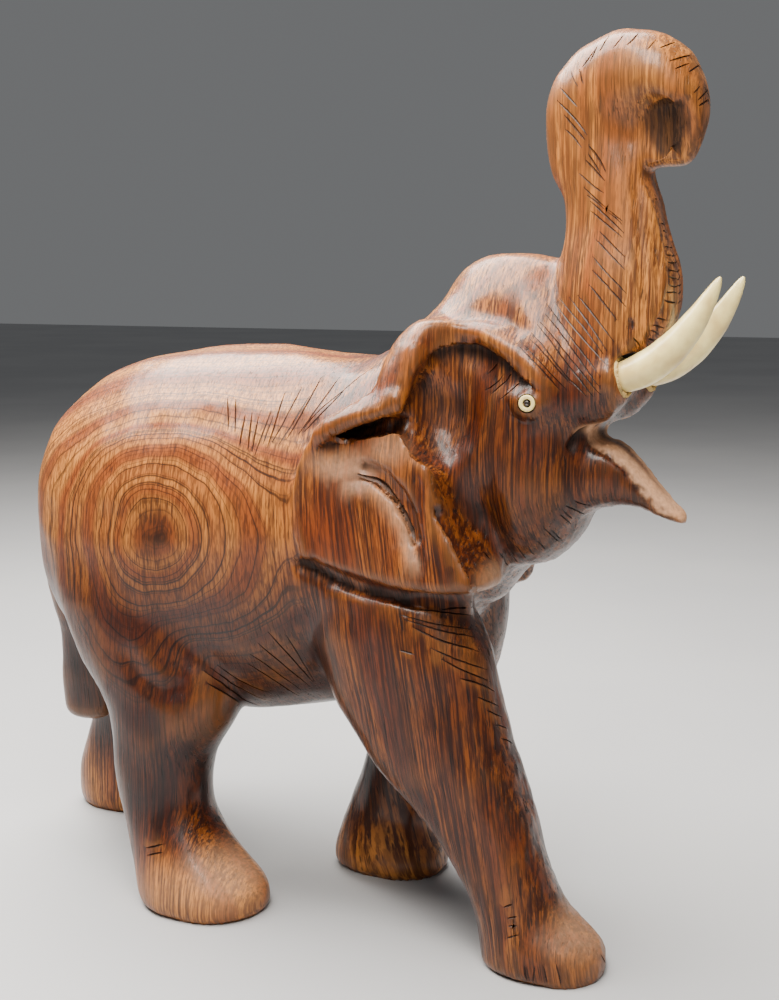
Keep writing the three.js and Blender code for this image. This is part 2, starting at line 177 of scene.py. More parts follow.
def drop_slivers(mesh, fewest):
    """Takes away the loose scraps that a cut leaves, each with under a given number of faces."""
    bm = bmesh.new()
    bm.from_mesh(mesh)
    unseen = set(bm.faces)
    loose = []
    while unseen:
        island = [unseen.pop()]
        for face in island:
            for edge in face.edges:
                beside = [other for other in edge.link_faces if other in unseen]
                unseen.difference_update(beside)
                island.extend(beside)
        if len(island) < fewest:
            loose.extend(island)
    bmesh.ops.delete(bm, geom=loose, context="FACES")
    bm.to_mesh(mesh)
    bm.free()


# ---------------------------------------------------------------- the skin under the gouge
class Skin:
    """The wood's surface as arrays in millimetres, worked a stroke at a time."""

    def __init__(self, mesh):
        count = len(mesh.vertices)
        points = np.empty(count * 3)
        mesh.vertices.foreach_get("co", points)
        self.mesh = mesh
        self.points = points.reshape(count, 3) / MM
        ends = np.empty(len(mesh.edges) * 2, dtype=np.int64)
        mesh.edges.foreach_get("vertices", ends)
        self.starts, self.stops = ends.reshape(-1, 2).T
        self.valence = np.maximum(np.bincount(ends, minlength=count), 1)[:, None]
        self.facings()

    def write(self):
        """Puts the points back on the mesh."""
        self.mesh.vertices.foreach_set("co", (self.points * MM).ravel())
        self.mesh.update()

    def facings(self):
        """Takes the way that each point of the surface faces."""
        self.write()
        ways = np.empty(len(self.points) * 3)
        self.mesh.vertex_normals.foreach_get("vector", ways)
        self.normals = ways.reshape(-1, 3)

    def blurred(self, values, rounds, weight=1.0):
        """Values over the surface, each eased towards its neighbours' mean."""
        values = values.copy()
        count = len(values)
        for _ in range(rounds):
            total = np.stack(
                [
                    np.bincount(self.starts, column[self.stops], count)
                    + np.bincount(self.stops, column[self.starts], count)
                    for column in values.T
                ],
                axis=1,
            )
            values += 0.5 * weight * (total / self.valence - values)
        return values

    def ease(self, rounds, weight):
        """Rounds off the creases and keeps the bulk."""
        eased = self.blurred(self.points, rounds, weight)
        lost = self.blurred(self.points - eased, rounds, weight)
        self.points = eased + lost
        self.facings()

    def near(self, line, hand, reach):
        """The points near a line, how far each is from it, how far along, and on which side."""
        line = np.array([other_side(point, hand) for point in line])
        low, high = line.min(0) - reach, line.max(0) + reach
        chosen = np.flatnonzero(np.all((self.points > low) & (self.points < high), axis=1))
        places, ways = self.points[chosen], self.normals[chosen]
        best = np.full(len(chosen), np.inf)
        along = np.zeros(len(chosen))
        side = np.zeros(len(chosen))
        for index, (start, stop) in enumerate(zip(line[:-1], line[1:])):
            run = stop - start
            share = np.clip((places - start) @ run / (run @ run), 0, 1)
            offset = places - start - share[:, None] * run
            # what lies under or over the line counts less than what lies beside it
            height = np.sum(offset * ways, axis=1)
            beside = np.sqrt(np.maximum(np.sum(offset * offset, axis=1) - 0.75 * height * height, 0))
            nearer = beside < best
            best = np.where(nearer, beside, best)
            along = np.where(nearer, (index + share) / (len(line) - 1), along)
            turn = np.sum(np.cross(run, offset) * ways, axis=1)
            side = np.where(nearer, turn * -hand, side)
        return chosen, best, along, side

    def gouge(self, line, depth, width, blunt=0.12):
        """Cuts a hollow along a line, or leaves a ridge where depth is negative."""
        for hand in HANDS:
            chosen, distance, along, _ = self.near(line, hand, 2.5 * width)
            fade = np.clip(np.minimum(along, 1 - along) / blunt, 0, 1) ** 0.7
            bowl = np.exp(-((distance / (0.6 * width)) ** 2))
            sunk = depth * bowl * (0.25 + 0.75 * fade)
            self.points[chosen] -= sunk[:, None] * self.normals[chosen]

    def ledge(self, line, depth, width, below=-1, blunt=0.15):
        """Sinks the surface beside a line, most at the line, so that its other side stands over it."""
        for hand in HANDS:
            chosen, distance, along, side = self.near(line, hand, 2.5 * width)
            fade = np.clip(np.minimum(along, 1 - along) / blunt, 0, 1)
            beyond = distance * np.sign(side * below)
            lower = band(beyond, -0.5, 0.6) * np.exp(-((distance / width) ** 2))
            self.points[chosen] -= (depth * lower * fade)[:, None] * self.normals[chosen]

    def pit(self, place, depth, radius):
        """Presses a round hollow, or raises a lump where depth is negative."""
        for hand in HANDS:
            away = np.linalg.norm(self.points - np.array(other_side(place, hand)), axis=1)
            self.points -= (depth * np.exp(-((away / radius) ** 2)))[:, None] * self.normals

    def ruffle(self, size, depth, stretch=(1, 1, 1), weight=1.0, seed=0.0):
        """Works an uneven wave into the surface."""
        scaled = self.points / (np.array(stretch) * size) + seed
        waves = np.fromiter((noise.noise(Vector(place)) for place in scaled), float, len(scaled))
        self.points += (waves * depth * weight)[:, None] * self.normals


def band(values, low, high):
    """0 below low, 1 above high, and a smooth rise between."""
    share = np.clip((values - low) / (high - low), 0, 1)
    return share * share * (3 - 2 * share)


def within(points, centre, radii, edge=0.35):
    """1 inside a rounded region, mirrored to both sides of the animal, and 0 outside."""
    mirrored = points.copy()
    mirrored[:, 1] = MIDDLE - np.abs(points[:, 1] - MIDDLE)
    far = np.linalg.norm((mirrored - np.array(centre)) / np.array(radii), axis=1)
    return 1 - band(far, 1 - edge, 1 + edge)


# lines of the carving on the right side, in millimetres
EAR_SLOT = (
    (17.1, -41.5, 137.9), (23.4, -39.8, 140.7), (29.5, -36.5, 143.0), (35, -34, 145),
    (40.0, -30.5, 146.3),
)
EAR_ROLL = (
    (16, -41.8, 141.0), (20.8, -40.6, 144.0), (28.3, -40.8, 147.0), (36.2, -39.2, 149.5),
    (39.6, -36, 153.5),
)
HEAD_FOLD = ((41.5, -33.5, 166.5), (42.0, -36.0, 159.0), (40.5, -35.0, 151.5))
TEMPLE = (
    (44.5, -31.5, 160.8), (46.0, -29.8, 163.8), (50.2, -26.2, 165.5), (56.0, -23.5, 165.5),
    (63.3, -24.1, 161.8), (68.9, -24.2, 156.9), (74.0, -24.3, 154.0),
)
BROW = (
    (40.6, -33.5, 165.6), (43.1, -29.7, 169.9), (48.3, -25.4, 170.6), (56.3, -24.0, 168.4),
    (64.9, -24.7, 164.2), (71.8, -24.8, 159.3), (75.6, -23.9, 154.2),
)
BROW_HOLLOW = ((46.5, -24.5, 176.0), (53.5, -21.5, 175.0), (61.0, -20.5, 172.5), (68.5, -20.5, 168.0))
CHEEK_FRONT = (
    (40.1, -31.0, 144.0), (44.5, -38.5, 137.0), (46.8, -40.8, 130.0), (47.6, -41.4, 121.4),
    (48.6, -42.2, 111.2), (49.2, -42.0, 104.0),
)
JAW_ANGLE = (
    (50.6, -40.2, 125.0), (52.8, -40.6, 121.2), (55.9, -39.7, 116.4), (58.8, -40.8, 111.8),
    (61.5, -41.0, 105.8), (62.5, -40.0, 101.0),
)
CRESCENT = (
    (25.8, -41.2, 130.0), (28.5, -40.9, 131.4), (32.3, -40.6, 131.2), (36.4, -39.4, 128.9),
    (39.8, -38.2, 125.0), (43.0, -38.8, 120.2), (45.6, -40.5, 115.2), (47.2, -42.1, 111.1),
)
EAR_LOW = (
    (11.0, -37.0, 107.3), (14.5, -37.5, 105.0), (18.4, -37.5, 103.5), (26.2, -37.5, 100.8),
    (35.2, -37.5, 98.9), (45.5, -37.5, 98.0), (56.0, -37.0, 97.6), (60.0, -35.0, 97.9),
)
EAR_REAR = (
    (16.5, -41.6, 138.4), (13.0, -41.7, 129.7), (11.0, -42.1, 121.6), (11.2, -42.7, 113.7),
    (11.4, -39.8, 108.0),
)
EYE_BAG = (
    (63.6, -24.4, 150.8), (65.4, -24.3, 147.6), (68.5, -24.0, 145.7), (72.2, -23.8, 146.2),
    (75.0, -24.0, 149.0),
)
TRUNK_CORNER = (
    (91.9, -8.4, 212.5), (94.3, -8.1, 205.0), (96.8, -7.6, 198.7), (99.3, -7.6, 191.1),
    (100.4, -8.8, 183.5), (99.6, -10.4, 177.2), (97.2, -11.6, 169.7),
)
TRUNK_FLUTE = (
    (93.0, -9.5, 208.0), (94.0, -11.2, 200.0), (95.2, -12.2, 191.0), (96.2, -13.0, 184.0),
    (96.9, -13.2, 177.3),
)
JAW_RIM = (
    (82.0, -9.2, 141.0), (85.7, -9.0, 138.0), (90.5, -8.5, 134.2), (95.0, -7.6, 129.0),
    (99.0, -6.6, 123.8), (103.6, -4.8, 120.6),
)
MOUTH_CORNER = ((77.5, -15.0, 138.0), (80.5, -13.0, 141.0), (84.0, -11.0, 143.5))
LIP_FOLD = ((89.0, -18.5, 161.0), (89.6, -19.0, 156.5), (90.0, -17.5, 152.0), (89.0, -15.0, 148.5))
CURL_CRACK = ((99.2, -7.4, 222.0), (100.1, -7.9, 219.6), (101.5, -8.7, 215.0), (102.2, -9.3, 212.5))
SCOOP = ((97.5, -12.5, 225.5), (100.5, -11.0, 220.0), (101.5, -9.0, 214.0), (99.5, -8.0, 209.0))
SCOOP_RIM = ((103.2, -11.0, 226.5), (105.4, -9.4, 221.0), (104.8, -7.6, 215.5), (102.0, -6.5, 211.0))
STIFLE = ((-46.0, -40.0, 78.0), (-41.0, -41.5, 70.0), (-33.0, -41.5, 66.0), (-25.0, -39.5, 68.5))

# round hollows and swellings on the right side
LIP_PIT = (93.8, -14.8, 171.2)
TEMPLE_HOLLOW = (58.0, -25.0, 157.0)
TRUNK_SWELL = (84.0, -10.0, 183.5)
EAR_TIP = (11.2, -40.0, 106.0)
EYE_CORNER = Vector((-2.6, 0, 2.2))  # from the eye


def carve(skin):
    """Works the plain masses into the animal."""
    x, _, z = skin.points.T
    out = np.abs(skin.points[:, 1] - MIDDLE)
    ear = band(x, 4, 10) * (1 - band(x, 60, 66)) * band(z, 92, 98) * (1 - band(z, 152, 158))
    ear = ear * band(out, 30, 36)
    jaw = band(x, 78, 86) * (1 - band(z, 140, 147))
    boss = within(skin.points, (88, -13, 157.6), (8, 8, 8))
    scoop = within(skin.points, (101, -10, 218), (9, 7, 14))
    tail = (1 - band(x, -104, -96)) * band(z, 25, 32) * (1 - band(out, 14, 20))
    softness = np.clip(1 - 0.82 * ear - 0.75 * jaw - 0.5 * boss - 0.6 * tail - 0.7 * scoop, 0.1, 1)
    skin.ease(60, softness[:, None])

    skin.ruffle(26, 1.5, seed=3.1, weight=1 - 0.6 * ear)
    skin.ruffle(9, 0.35, seed=8.7)

    # face
    skin.ledge(TEMPLE, 2.2, 8)
    skin.gouge(BROW, -1.3, 4)
    skin.gouge(BROW_HOLLOW, 1.3, 5)
    skin.gouge(HEAD_FOLD, -1.4, 5)
    skin.gouge(EYE_BAG, 0.7, 1.6)
    skin.gouge(LIP_FOLD, -0.6, 2.6)
    skin.gouge(MOUTH_CORNER, 1.8, 2.6)
    eye, _ = eye_seat(RIGHT)
    skin.pit(eye, -1.25, 4.6)
    skin.pit(eye + EYE_CORNER, -1.0, 3.6)
    skin.pit(LIP_PIT, 1.6, 1.1)
    skin.pit(TEMPLE_HOLLOW, 1.1, 6.0)
    skin.pit(TRUNK_SWELL, -0.9, 5.0)
    skin.facings()

    # ears
    skin.gouge(EAR_ROLL, -1.7, 3.6)
    skin.gouge(CHEEK_FRONT, 0.9, 1.2)
    skin.ledge(JAW_ANGLE, 2.6, 6, below=1)
    skin.gouge(JAW_ANGLE, 1.0, 1.4)
    skin.ledge(CRESCENT, 1.3, 4.5)
    skin.gouge(CRESCENT, 1.4, 2.0, blunt=0.35)
    skin.ledge(EAR_SLOT, 1.4, 7)
    skin.gouge(EAR_SLOT, 1.6, 1.2)
    skin.gouge(EAR_LOW, 0.8, 1.6)
    skin.gouge(EAR_REAR, 0.7, 2.4)
    skin.pit(EAR_TIP, 2.0, 1.8)
    skin.facings()

    # trunk and jaw
    skin.gouge(SCOOP, 3.0, 6.5)
    skin.gouge(SCOOP_RIM, 3.4, 4.4)
    skin.facings()
    skin.gouge(TRUNK_CORNER, -0.9, 2.2)
    skin.gouge(TRUNK_FLUTE, 0.6, 2.4)
    skin.gouge(CURL_CRACK, 1.4, 1.2)
    skin.gouge(JAW_RIM, 0.8, 1.6)
    skin.gouge(STIFLE, 0.9, 5)
    skin.facings()

    # open grain on the sawn faces, and the flat soles
    x, _, z = skin.points.T
    out = np.abs(skin.points[:, 1] - MIDDLE)
    open_grain = np.clip(ear + band(x, 20, 45) * (1 - band(z, 150, 175)) + 0.35, 0, 1)
    skin.ruffle(1.3, 0.24, stretch=(1, 1, 13), weight=open_grain, seed=1.3)
    jaw = band(x, 82, 90) * (1 - band(z, 138, 146))
    skin.ruffle(2.2, 0.15, weight=jaw, seed=5.9)
    skin.points[:, 2] = np.where(skin.points[:, 2] < 0.45, 0, skin.points[:, 2])
    keep_inside(skin.points)
    skin.write()


def keep_inside(points):
    """Holds the surface inside the block it was carved from."""
    low, high = (np.array(corner) / MM for corner in CAD_BOX)
    np.clip(points, low, high, out=points)


# ---------------------------------------------------------------- the knife
# lines on the right side, each through two or three points near the surface
KNIFE_LINES = {
    "trunk_side": (
        ((75.3, -11.9, 235.1), (76.7, -13.2, 232.9), (77.9, -13.7, 230.8)),
        ((77.8, -12.7, 234.9), (78.8, -13.3, 233.2), (79.7, -13.7, 231.6)),
        ((72.7, -11.8, 231.1), (75.4, -13.4, 228.3), (77.7, -13.5, 225.7)),
        ((71.9, -11.7, 227.9), (76.4, -13.3, 223.2), (80.3, -13, 218.7)),
        ((73.8, -13, 223.7), (77, -13.1, 220.7), (80, -12.9, 217.7)),
        ((74, -12.7, 220.2), (76.5, -12.8, 218), (79, -13.1, 215.8)),
        ((81.1, -12.8, 216.2), (83.3, -12.8, 212.8), (85.4, -12.7, 209.4)),
        ((80.9, -13, 214), (82.5, -12.9, 211.6), (84.1, -12.8, 209.2)),
        ((80.2, -13, 212.5), (82.8, -12.9, 209.8), (85.5, -12.8, 207.1)),
        ((78, -12.7, 209.1), (81.9, -13, 206.7), (85.6, -12.9, 204.4)),
        ((79.9, -12.8, 205.8), (85.3, -13.2, 200.9), (90.3, -13.1, 196.1)),
        ((80.8, -12.9, 203.7), (85.7, -13.2, 200.4), (90.3, -13, 197.1)),
        ((81.7, -13, 202.2), (86.4, -13.3, 198.1), (90.9, -13.2, 194.1)),
        ((82, -13.1, 199.9), (86.4, -13.5, 196.4), (90.5, -13.4, 192.8)),
        ((84.7, -13.7, 194.4), (88.2, -13.9, 191.2), (91.6, -14, 188)),
        ((83.8, -13.8, 192.4), (87.8, -14.3, 188.6), (91.8, -14.4, 184.8)),
        ((83.5, -14.2, 188.1), (88.1, -15, 183.4), (92.4, -15.1, 178.8)),
        ((83.7, -14.8, 184.5), (88.3, -15.4, 180), (92.6, -15.4, 175.5)),
        ((83.1, -15.2, 181), (86.9, -15.9, 176.6), (90.5, -16, 172.2)),
    ),
    "head": (
        ((80.2, -15.2, 178.4), (85.3, -16.5, 172.6), (90, -16.5, 166.7)),
        ((77.8, -14.3, 177.9), (83.8, -16.6, 170.6), (89, -16.4, 163.4)),
        ((74.4, -12.3, 177.1), (82.2, -16.5, 169.8), (88.5, -16.6, 162.6)),
        ((72.8, -13.1, 176.1), (81.2, -16.6, 168.3), (88.9, -18.5, 160.7)),
        ((71.2, -14.9, 175.6), (79.2, -16.6, 166.7), (87.4, -19.4, 158.1)),
        ((71.4, -16.8, 173.3), (79.2, -17.2, 164.2), (87.5, -19.5, 155.4)),
        ((70.6, -18.4, 171.5), (79.1, -18.4, 162.4), (87.6, -18.9, 153.5)),
        ((69.9, -19.2, 170.8), (78.1, -19.7, 161.8), (85.8, -19.1, 153)),
        ((69.3, -20.5, 169), (76.7, -20.8, 160.8), (83.7, -19.9, 152.7)),
        ((69.1, -21.5, 167), (74.9, -21.4, 161.3), (80.2, -20.1, 155.7)),
        ((68.5, -23.5, 165.8), (74.1, -23.3, 160), (78.7, -20.2, 154.1)),
        ((67.5, -24.3, 165.3), (73, -24.2, 159.9), (77.6, -21.7, 154.4)),
    ),
    "eye": (
        ((57.2, -24, 153.9), (59.7, -24.2, 156), (62, -24.3, 158.2)),
        ((59.3, -24.3, 153.4), (62.4, -24.3, 156.4), (65.2, -23.8, 159.3)),
        ((62, -24.6, 151.7), (64.9, -24.1, 154.4), (67.9, -23.7, 157)),
        ((57.7, -23.8, 158.6), (58.6, -23.9, 159.9), (59.6, -23.9, 161.2)),
    ),
    "chin": (
        ((79.4, -13.6, 124.9), (80.7, -11.4, 123.6), (82.2, -9.6, 122.4)),
        ((78.1, -16.2, 123.6), (79.2, -11.8, 121.9), (80.1, -6.5, 119.9)),
        ((77.4, -16.5, 122.3), (78.1, -14.2, 120.8), (78.7, -11.2, 119.2)),
        ((76.7, -16.8, 120.9), (77.6, -14.6, 119.5), (78, -11, 117.8)),
        ((74.4, -17.3, 117.1), (75, -14.9, 115.4), (75.4, -11.9, 113.6)),
        ((73, -19.5, 117.9), (74.1, -16.2, 115.4), (74.8, -11.8, 112.8)),
        ((70.7, -18.3, 114), (71.2, -16.7, 112.7), (71.7, -14.8, 111.4)),
        ((68, -18.7, 112.5), (68.6, -17.1, 111.2), (68.9, -14.9, 109.8)),
        ((64.9, -19.4, 112.7), (65.8, -17.9, 110.9), (66.1, -14.9, 108.8)),
        ((62.9, -17.9, 110.4), (63.2, -15.7, 108.9), (63.4, -13.2, 107.4)),
        ((59.6, -19, 110.3), (59.7, -16.3, 108.5), (59.7, -13.3, 106.6)),
        ((58.9, -27.1, 111.6), (59.4, -25.8, 110.2), (60.2, -25.4, 109)),
    ),
    "curl": (
        ((78.6, -13.1, 235.8), (80.2, -12.8, 237.8), (81.6, -12, 239.9)),
        ((80.6, -13.3, 236.9), (81.7, -12.5, 239.1), (82.5, -10.9, 241.4)),
        ((83.4, -12.7, 239.4), (84.2, -11.9, 241.3), (84.4, -9.3, 243.5)),
        ((86.8, -13.4, 239.9), (88.1, -12.3, 241.5), (89, -10.1, 243.3)),
        ((90, -13, 240), (91.6, -11.9, 241.6), (92.6, -9.2, 243.4)),
        ((95.6, -12.7, 238.7), (96.4, -11.8, 240), (97, -10, 241.4)),
        ((98.5, -11.3, 239.2), (99.8, -9.3, 240.1), (100.7, -5.7, 241.2)),
        ((101.2, -11.8, 235.8), (103.2, -9.2, 236.9), (104.5, -4.3, 238.2)),
        ((102.5, -11.6, 233.9), (103.8, -9.7, 234.7), (104.9, -6.8, 235.7)),
        ((105.4, -8.4, 233.6), (105.9, -5.5, 234.6), (105.6, 0.4, 236.1)),
        ((106.9, -8.6, 228.4), (107.8, -5.9, 230.2)),
        ((107.6, -7.3, 226.6), (108.3, -4.5, 228.2), (108.3, 0.6, 230.1)),
        ((107.8, -6.9, 225.4), (108.4, -4.4, 226.2), (108.5, 0.3, 227.3)),
    ),
    "trunk_front": (
        ((96, 0.1, 202.7), (95.9, 1.7, 202.9)),
        ((98, -1.7, 196.5), (97.9, 1.3, 196.7)),
        ((98.5, -1.7, 194.7), (98.6, 1.1, 194.7)),
        ((99.2, -2.7, 192.9), (99.2, 0.5, 192.9)),
        ((99.8, -4.7, 190.9), (99.9, -1.4, 190.8)),
        ((100.3, -5.3, 188.8), (100.6, -2.8, 188.7), (100.6, 1, 188.7)),
        ((100.5, -5.9, 187.1), (101, -3.6, 186.8), (101.1, 0.5, 186.6)),
        ((100.7, -6.6, 185), (101.4, -4.8, 184.8), (101.5, -0.9, 184.5)),
        ((100.9, -6.9, 183.3), (101.5, -5, 182.9), (101.7, -1.2, 182.5)),
        ((100.8, -7.3, 181.3), (101.5, -5.2, 181), (101.7, -1, 180.7)),
        ((100.6, -8.2, 179.5), (101.3, -5.8, 179.1), (101.7, -1.8, 178.7)),
        ((100.3, -8.9, 177.5), (101, -6.4, 176.9), (101.4, -2.5, 176.4)),
        ((98.6, -10.9, 173), (99.6, -9.2, 172.5), (100.3, -6.6, 172.1)),
        ((97.8, -11.4, 171.2), (98.8, -9.5, 170.8), (99.5, -6.2, 170.3)),
        ((97, -11.4, 169.7), (97.9, -9.8, 169.1), (98.4, -6.8, 168.5)),
        ((96.7, -10.9, 167.9), (97.2, -8.8, 167.3), (97.6, -5.9, 166.7)),
        ((96.2, -10, 165.8), (96.6, -7.3, 165.3), (96.8, -3.8, 164.7)),
        ((94, -14.3, 167.9), (94.6, -13.2, 166.9), (95.2, -11.8, 165.8)),
    ),
    "foreleg": (
        ((40.5, -39, 97.7), (49.9, -33.6, 95.9), (53.8, -24.7, 93.4)),
        ((49.6, -33.6, 96.4), (51.6, -29.3, 96.3), (52.6, -22.7, 95.6)),
        ((40.7, -39.4, 95.6), (50.2, -35, 92.7), (55.6, -26.8, 89.9)),
        ((41.8, -39.4, 94.1), (50.9, -35.2, 91.2), (56.4, -27.3, 88.2)),
        ((43.9, -39, 92.4), (51.9, -35.4, 88.7), (58, -28.3, 84.8)),
        ((49, -38.1, 87.1), (55.7, -34.3, 83.5), (60, -26.9, 79.8)),
        ((51.8, -37.2, 84.3), (57.2, -33.9, 80.6), (61, -26.4, 76.5)),
        ((56.1, -35.2, 79.2), (59.5, -31.4, 76.8), (61.9, -25, 73.5)),
        ((59.9, -32.6, 73.8), (61.8, -29.4, 72), (63.1, -24.2, 69.6)),
        ((61.9, -30.5, 70), (63.4, -28.1, 68.6), (64, -23.6, 66.5)),
        ((64, -28.6, 65.9), (64.6, -25.6, 64.5), (65, -22.4, 63)),
        ((65.3, -27.4, 61.9), (65.7, -24.2, 60.4), (66.2, -20.9, 58.8)),
        ((41.2, -40.4, 86.2), (43.1, -40.3, 85.8), (45, -39.8, 85.2)),
    ),
    "foot": (
        ((70.4, -37.5, 19.9), (71.3, -37.4, 20.3), (72.2, -37.2, 20.7)),
        ((71.4, -37.9, 16.9), (72.6, -37.7, 17.3), (73.8, -37.4, 17.7)),
        ((71.6, -38.3, 14.7), (72.9, -38.1, 15.1), (74.2, -37.8, 15.5)),
        ((71.6, -38.9, 11.8), (73.2, -38.8, 12.5), (74.7, -38.4, 13.1)),
        ((72.7, -37.6, 17.4), (73.1, -38.2, 14.5), (73.6, -39, 11.7)),
    ),
    "hindfoot": (
        ((-38.1, -44.4, 19.7), (-35.2, -44.5, 20.5), (-32.8, -44, 21.1)),
        ((-37.5, -44.8, 17.5), (-34.8, -45, 18.4), (-32.5, -44.5, 18.9)),
    ),
    "belly": (
        ((4.3, -36.2, 85.1), (6.2, -31.9, 77.6), (6.7, -24.8, 69.2)),
        ((-0.9, -37.1, 85.9), (3.5, -32.7, 78.1), (6.1, -24.9, 69.2)),
        ((-4.5, -36.5, 82.5), (0.7, -31.5, 75.3), (4.3, -23.4, 67.1)),
        ((-7.9, -34.7, 78.6), (-2.5, -30.5, 72.9), (1.1, -23.1, 66)),
        ((-10, -33, 75), (-4.5, -28.1, 69.7), (-1.1, -19.2, 63)),
        ((-20.1, -33.4, 73.7), (-14.5, -29, 68.6), (-8, -24.4, 65.2)),
        ((-22, -34.2, 72.5), (-15.7, -27.2, 66.5), (-9.3, -18.3, 60.8)),
        ((-23.1, -36.1, 71.9), (-18.7, -26.3, 63.8), (-16.8, -12.7, 56.5)),
        ((-21.8, -36.2, 68.6), (-19.4, -32.1, 65.2), (-19.1, -24.6, 60.6)),
    ),
    "shoulder": (
        ((-17.6, -29.2, 149.5), (-15.7, -32.3, 145.2), (-14.3, -34.8, 140.9)),
        ((-14.9, -29.3, 149.3), (-13.3, -32.4, 145), (-12, -34.8, 140.7)),
        ((-10.4, -32, 145.5), (-9.7, -34.6, 141.1), (-9.1, -37, 136.6)),
        ((-8.4, -31.6, 146.1), (-7.4, -34.5, 140.9), (-6.5, -37.1, 135.7)),
        ((-6, -32, 145.1), (-5.5, -34.7, 140.4), (-5.3, -37, 135.7)),
        ((-2.8, -30.8, 146.8), (-3.3, -34.3, 140.8), (-4.2, -37.2, 134.7)),
        ((-1.7, -31.6, 145.3), (-2.1, -33.8, 141.6), (-2.4, -35.9, 138)),
        ((-0.7, -26.6, 151.3), (-0.4, -32.2, 144.2), (-1, -36.3, 137)),
        ((3.7, -24.9, 152.7), (2.4, -31.1, 145.7), (0.1, -35.4, 138.6)),
        ((7.1, -26.6, 150.7), (4.9, -31.7, 144.3), (2.1, -35.7, 137.9)),
        ((8.2, -21.6, 155.6), (6.9, -29.7, 147.7), (4, -34.6, 139.5)),
        ((13.2, -21, 155.8), (10.8, -28.6, 148.5), (7.1, -33.4, 141.2)),
        ((17.3, -24.7, 153.7), (13.1, -29.6, 147.6), (8.2, -33.2, 141.5)),
        ((25.8, -18.6, 161.2), (13.8, -27.5, 149.9), (8.1, -32.9, 142)),
    ),
    "toes": (
        ((77, -40.4, 5.6), (77.4, -40.5, 3.6), (77.6, -40.2, 1.5)),
        ((79.8, -39.9, 6.2), (79.7, -40.2, 4.1), (79.4, -40.1, 1.8)),
        ((81.9, -39.6, 6.3), (82.6, -39.8, 4.4), (83.1, -39.7, 2.4)),
        ((84.9, -37.8, 7.2), (85.6, -38.2, 4.8), (86.1, -38.1, 2.1)),
        ((92.4, -26.2, 6), (92.9, -25.5, 4.7), (93.3, -24.6, 3.3)),
    ),
    "ear": (
        ((28.2, -40.9, 131.5), (34.4, -40.0, 130.6), (39.6, -38.6, 125.4)),
        ((39.2, -38.6, 126.0), (42.8, -39.0, 120.6), (45.4, -40.5, 115.4)),
    ),
}

ONE_SIDED = ("foreleg", "foot", "hindfoot", "toes")  # cut on the right side only
EAR_CUT = 2.6  # breadth of the ears' crescents, in blades


def knife_strokes():
    """Every knife line as points near the surface, on both sides, with its breadth in blades."""
    for group, lines in KNIFE_LINES.items():
        breadth = EAR_CUT if group == "ear" else 1
        for line in lines:
            yield line, breadth
            if group not in ONE_SIDED:
                yield [other_side(point, LEFT) for point in line], breadth


def along_curve(line, share):
    """A point of a line through two or three points, bent evenly through the middle one."""
    first, last = Vector(line[0]), Vector(line[-1])
    middle = Vector(line[1]) if len(line) == 3 else (first + last) / 2
    bend = 2 * middle - (first + last) / 2
    return (1 - share) ** 2 * first + 2 * share * (1 - share) * bend + share * share * last


def knife_cutter(skin_mesh, half_width):
    """Thin bars that lie along the knife lines, sunk into the surface."""
    bm = bmesh.new()
    bm.from_mesh(skin_mesh)
    tree = BVHTree.FromBMesh(bm)
    bm.free()
    curve = bpy.data.curves.new("knife", "CURVE")
    curve.dimensions = "3D"
    curve.bevel_depth = half_width * MM
    curve.bevel_resolution = 0
    curve.use_fill_caps = True
    for number, (line, breadth) in enumerate(knife_strokes()):
        reach = (Vector(line[-1]) - Vector(line[0])).length
        count = max(5, min(14, int(reach / 2.2) + 3))
        wander = noise.noise(Vector((number * 0.73, 0.4, 2.2)))
        places = []
        for index in range(count):
            share = index / (count - 1)
            guess = along_curve(line, share)
            guess += Vector((0.5, 0, 0.6)) * wander * math.sin(3 * share + number)
            found, way, _, _ = tree.find_nearest(guess * MM)
            places.append((found - way * 0.05 * half_width * MM, share))
        spline = curve.splines.new("POLY")
        spline.points.add(count - 1)
        for point, (place, share) in zip(spline.points, places):
            point.co = (*place, 1)
            taper = min(1, 0.3 + 3.2 * min(share, 1 - share))
            point.radius = breadth * taper * (1 + 0.25 * wander)
    bar = linked("knife", curve)
    mesh = bpy.data.meshes.new_from_object(bar.evaluated_get(bpy.context.evaluated_depsgraph_get()))
    cutter = linked("knife_bars", mesh)
    bpy.data.objects.remove(bar)
    bm = bmesh.new()
    bm.from_mesh(mesh)
    bmesh.ops.remove_doubles(bm, verts=bm.verts, dist=0.0001 * MM)
    bmesh.ops.recalc_face_normals(bm, faces=bm.faces)
    bm.to_mesh(mesh)
    bm.free()
    return cutter


def socket_plugs(bm, grow, depths, ends):
    """Adds a cylinder at each tusk and eye seat to a bmesh in metres, from a depth to an end outwards."""
    radii = (SOCKET_RADIUS, EYE_RADIUS + EYE_ROOM)
    for hand in HANDS:
        seats = (tusk_seat(hand), eye_seat(hand))
        for (seat, axis), radius, depth, end in zip(seats, radii, depths, ends):
            place = Matrix.Translation(seat + axis * (end - depth) / 2) @ facing(axis)
            bmesh.ops.create_cone(
                bm,
                cap_ends=True,
                segments=40,
                radius1=(radius + grow) * MM,
                radius2=(radius + grow) * MM,
                depth=(end + depth) * MM,
                matrix=Matrix.Scale(MM, 4) @ place @ Matrix.Scale(1 / MM, 4),
            )


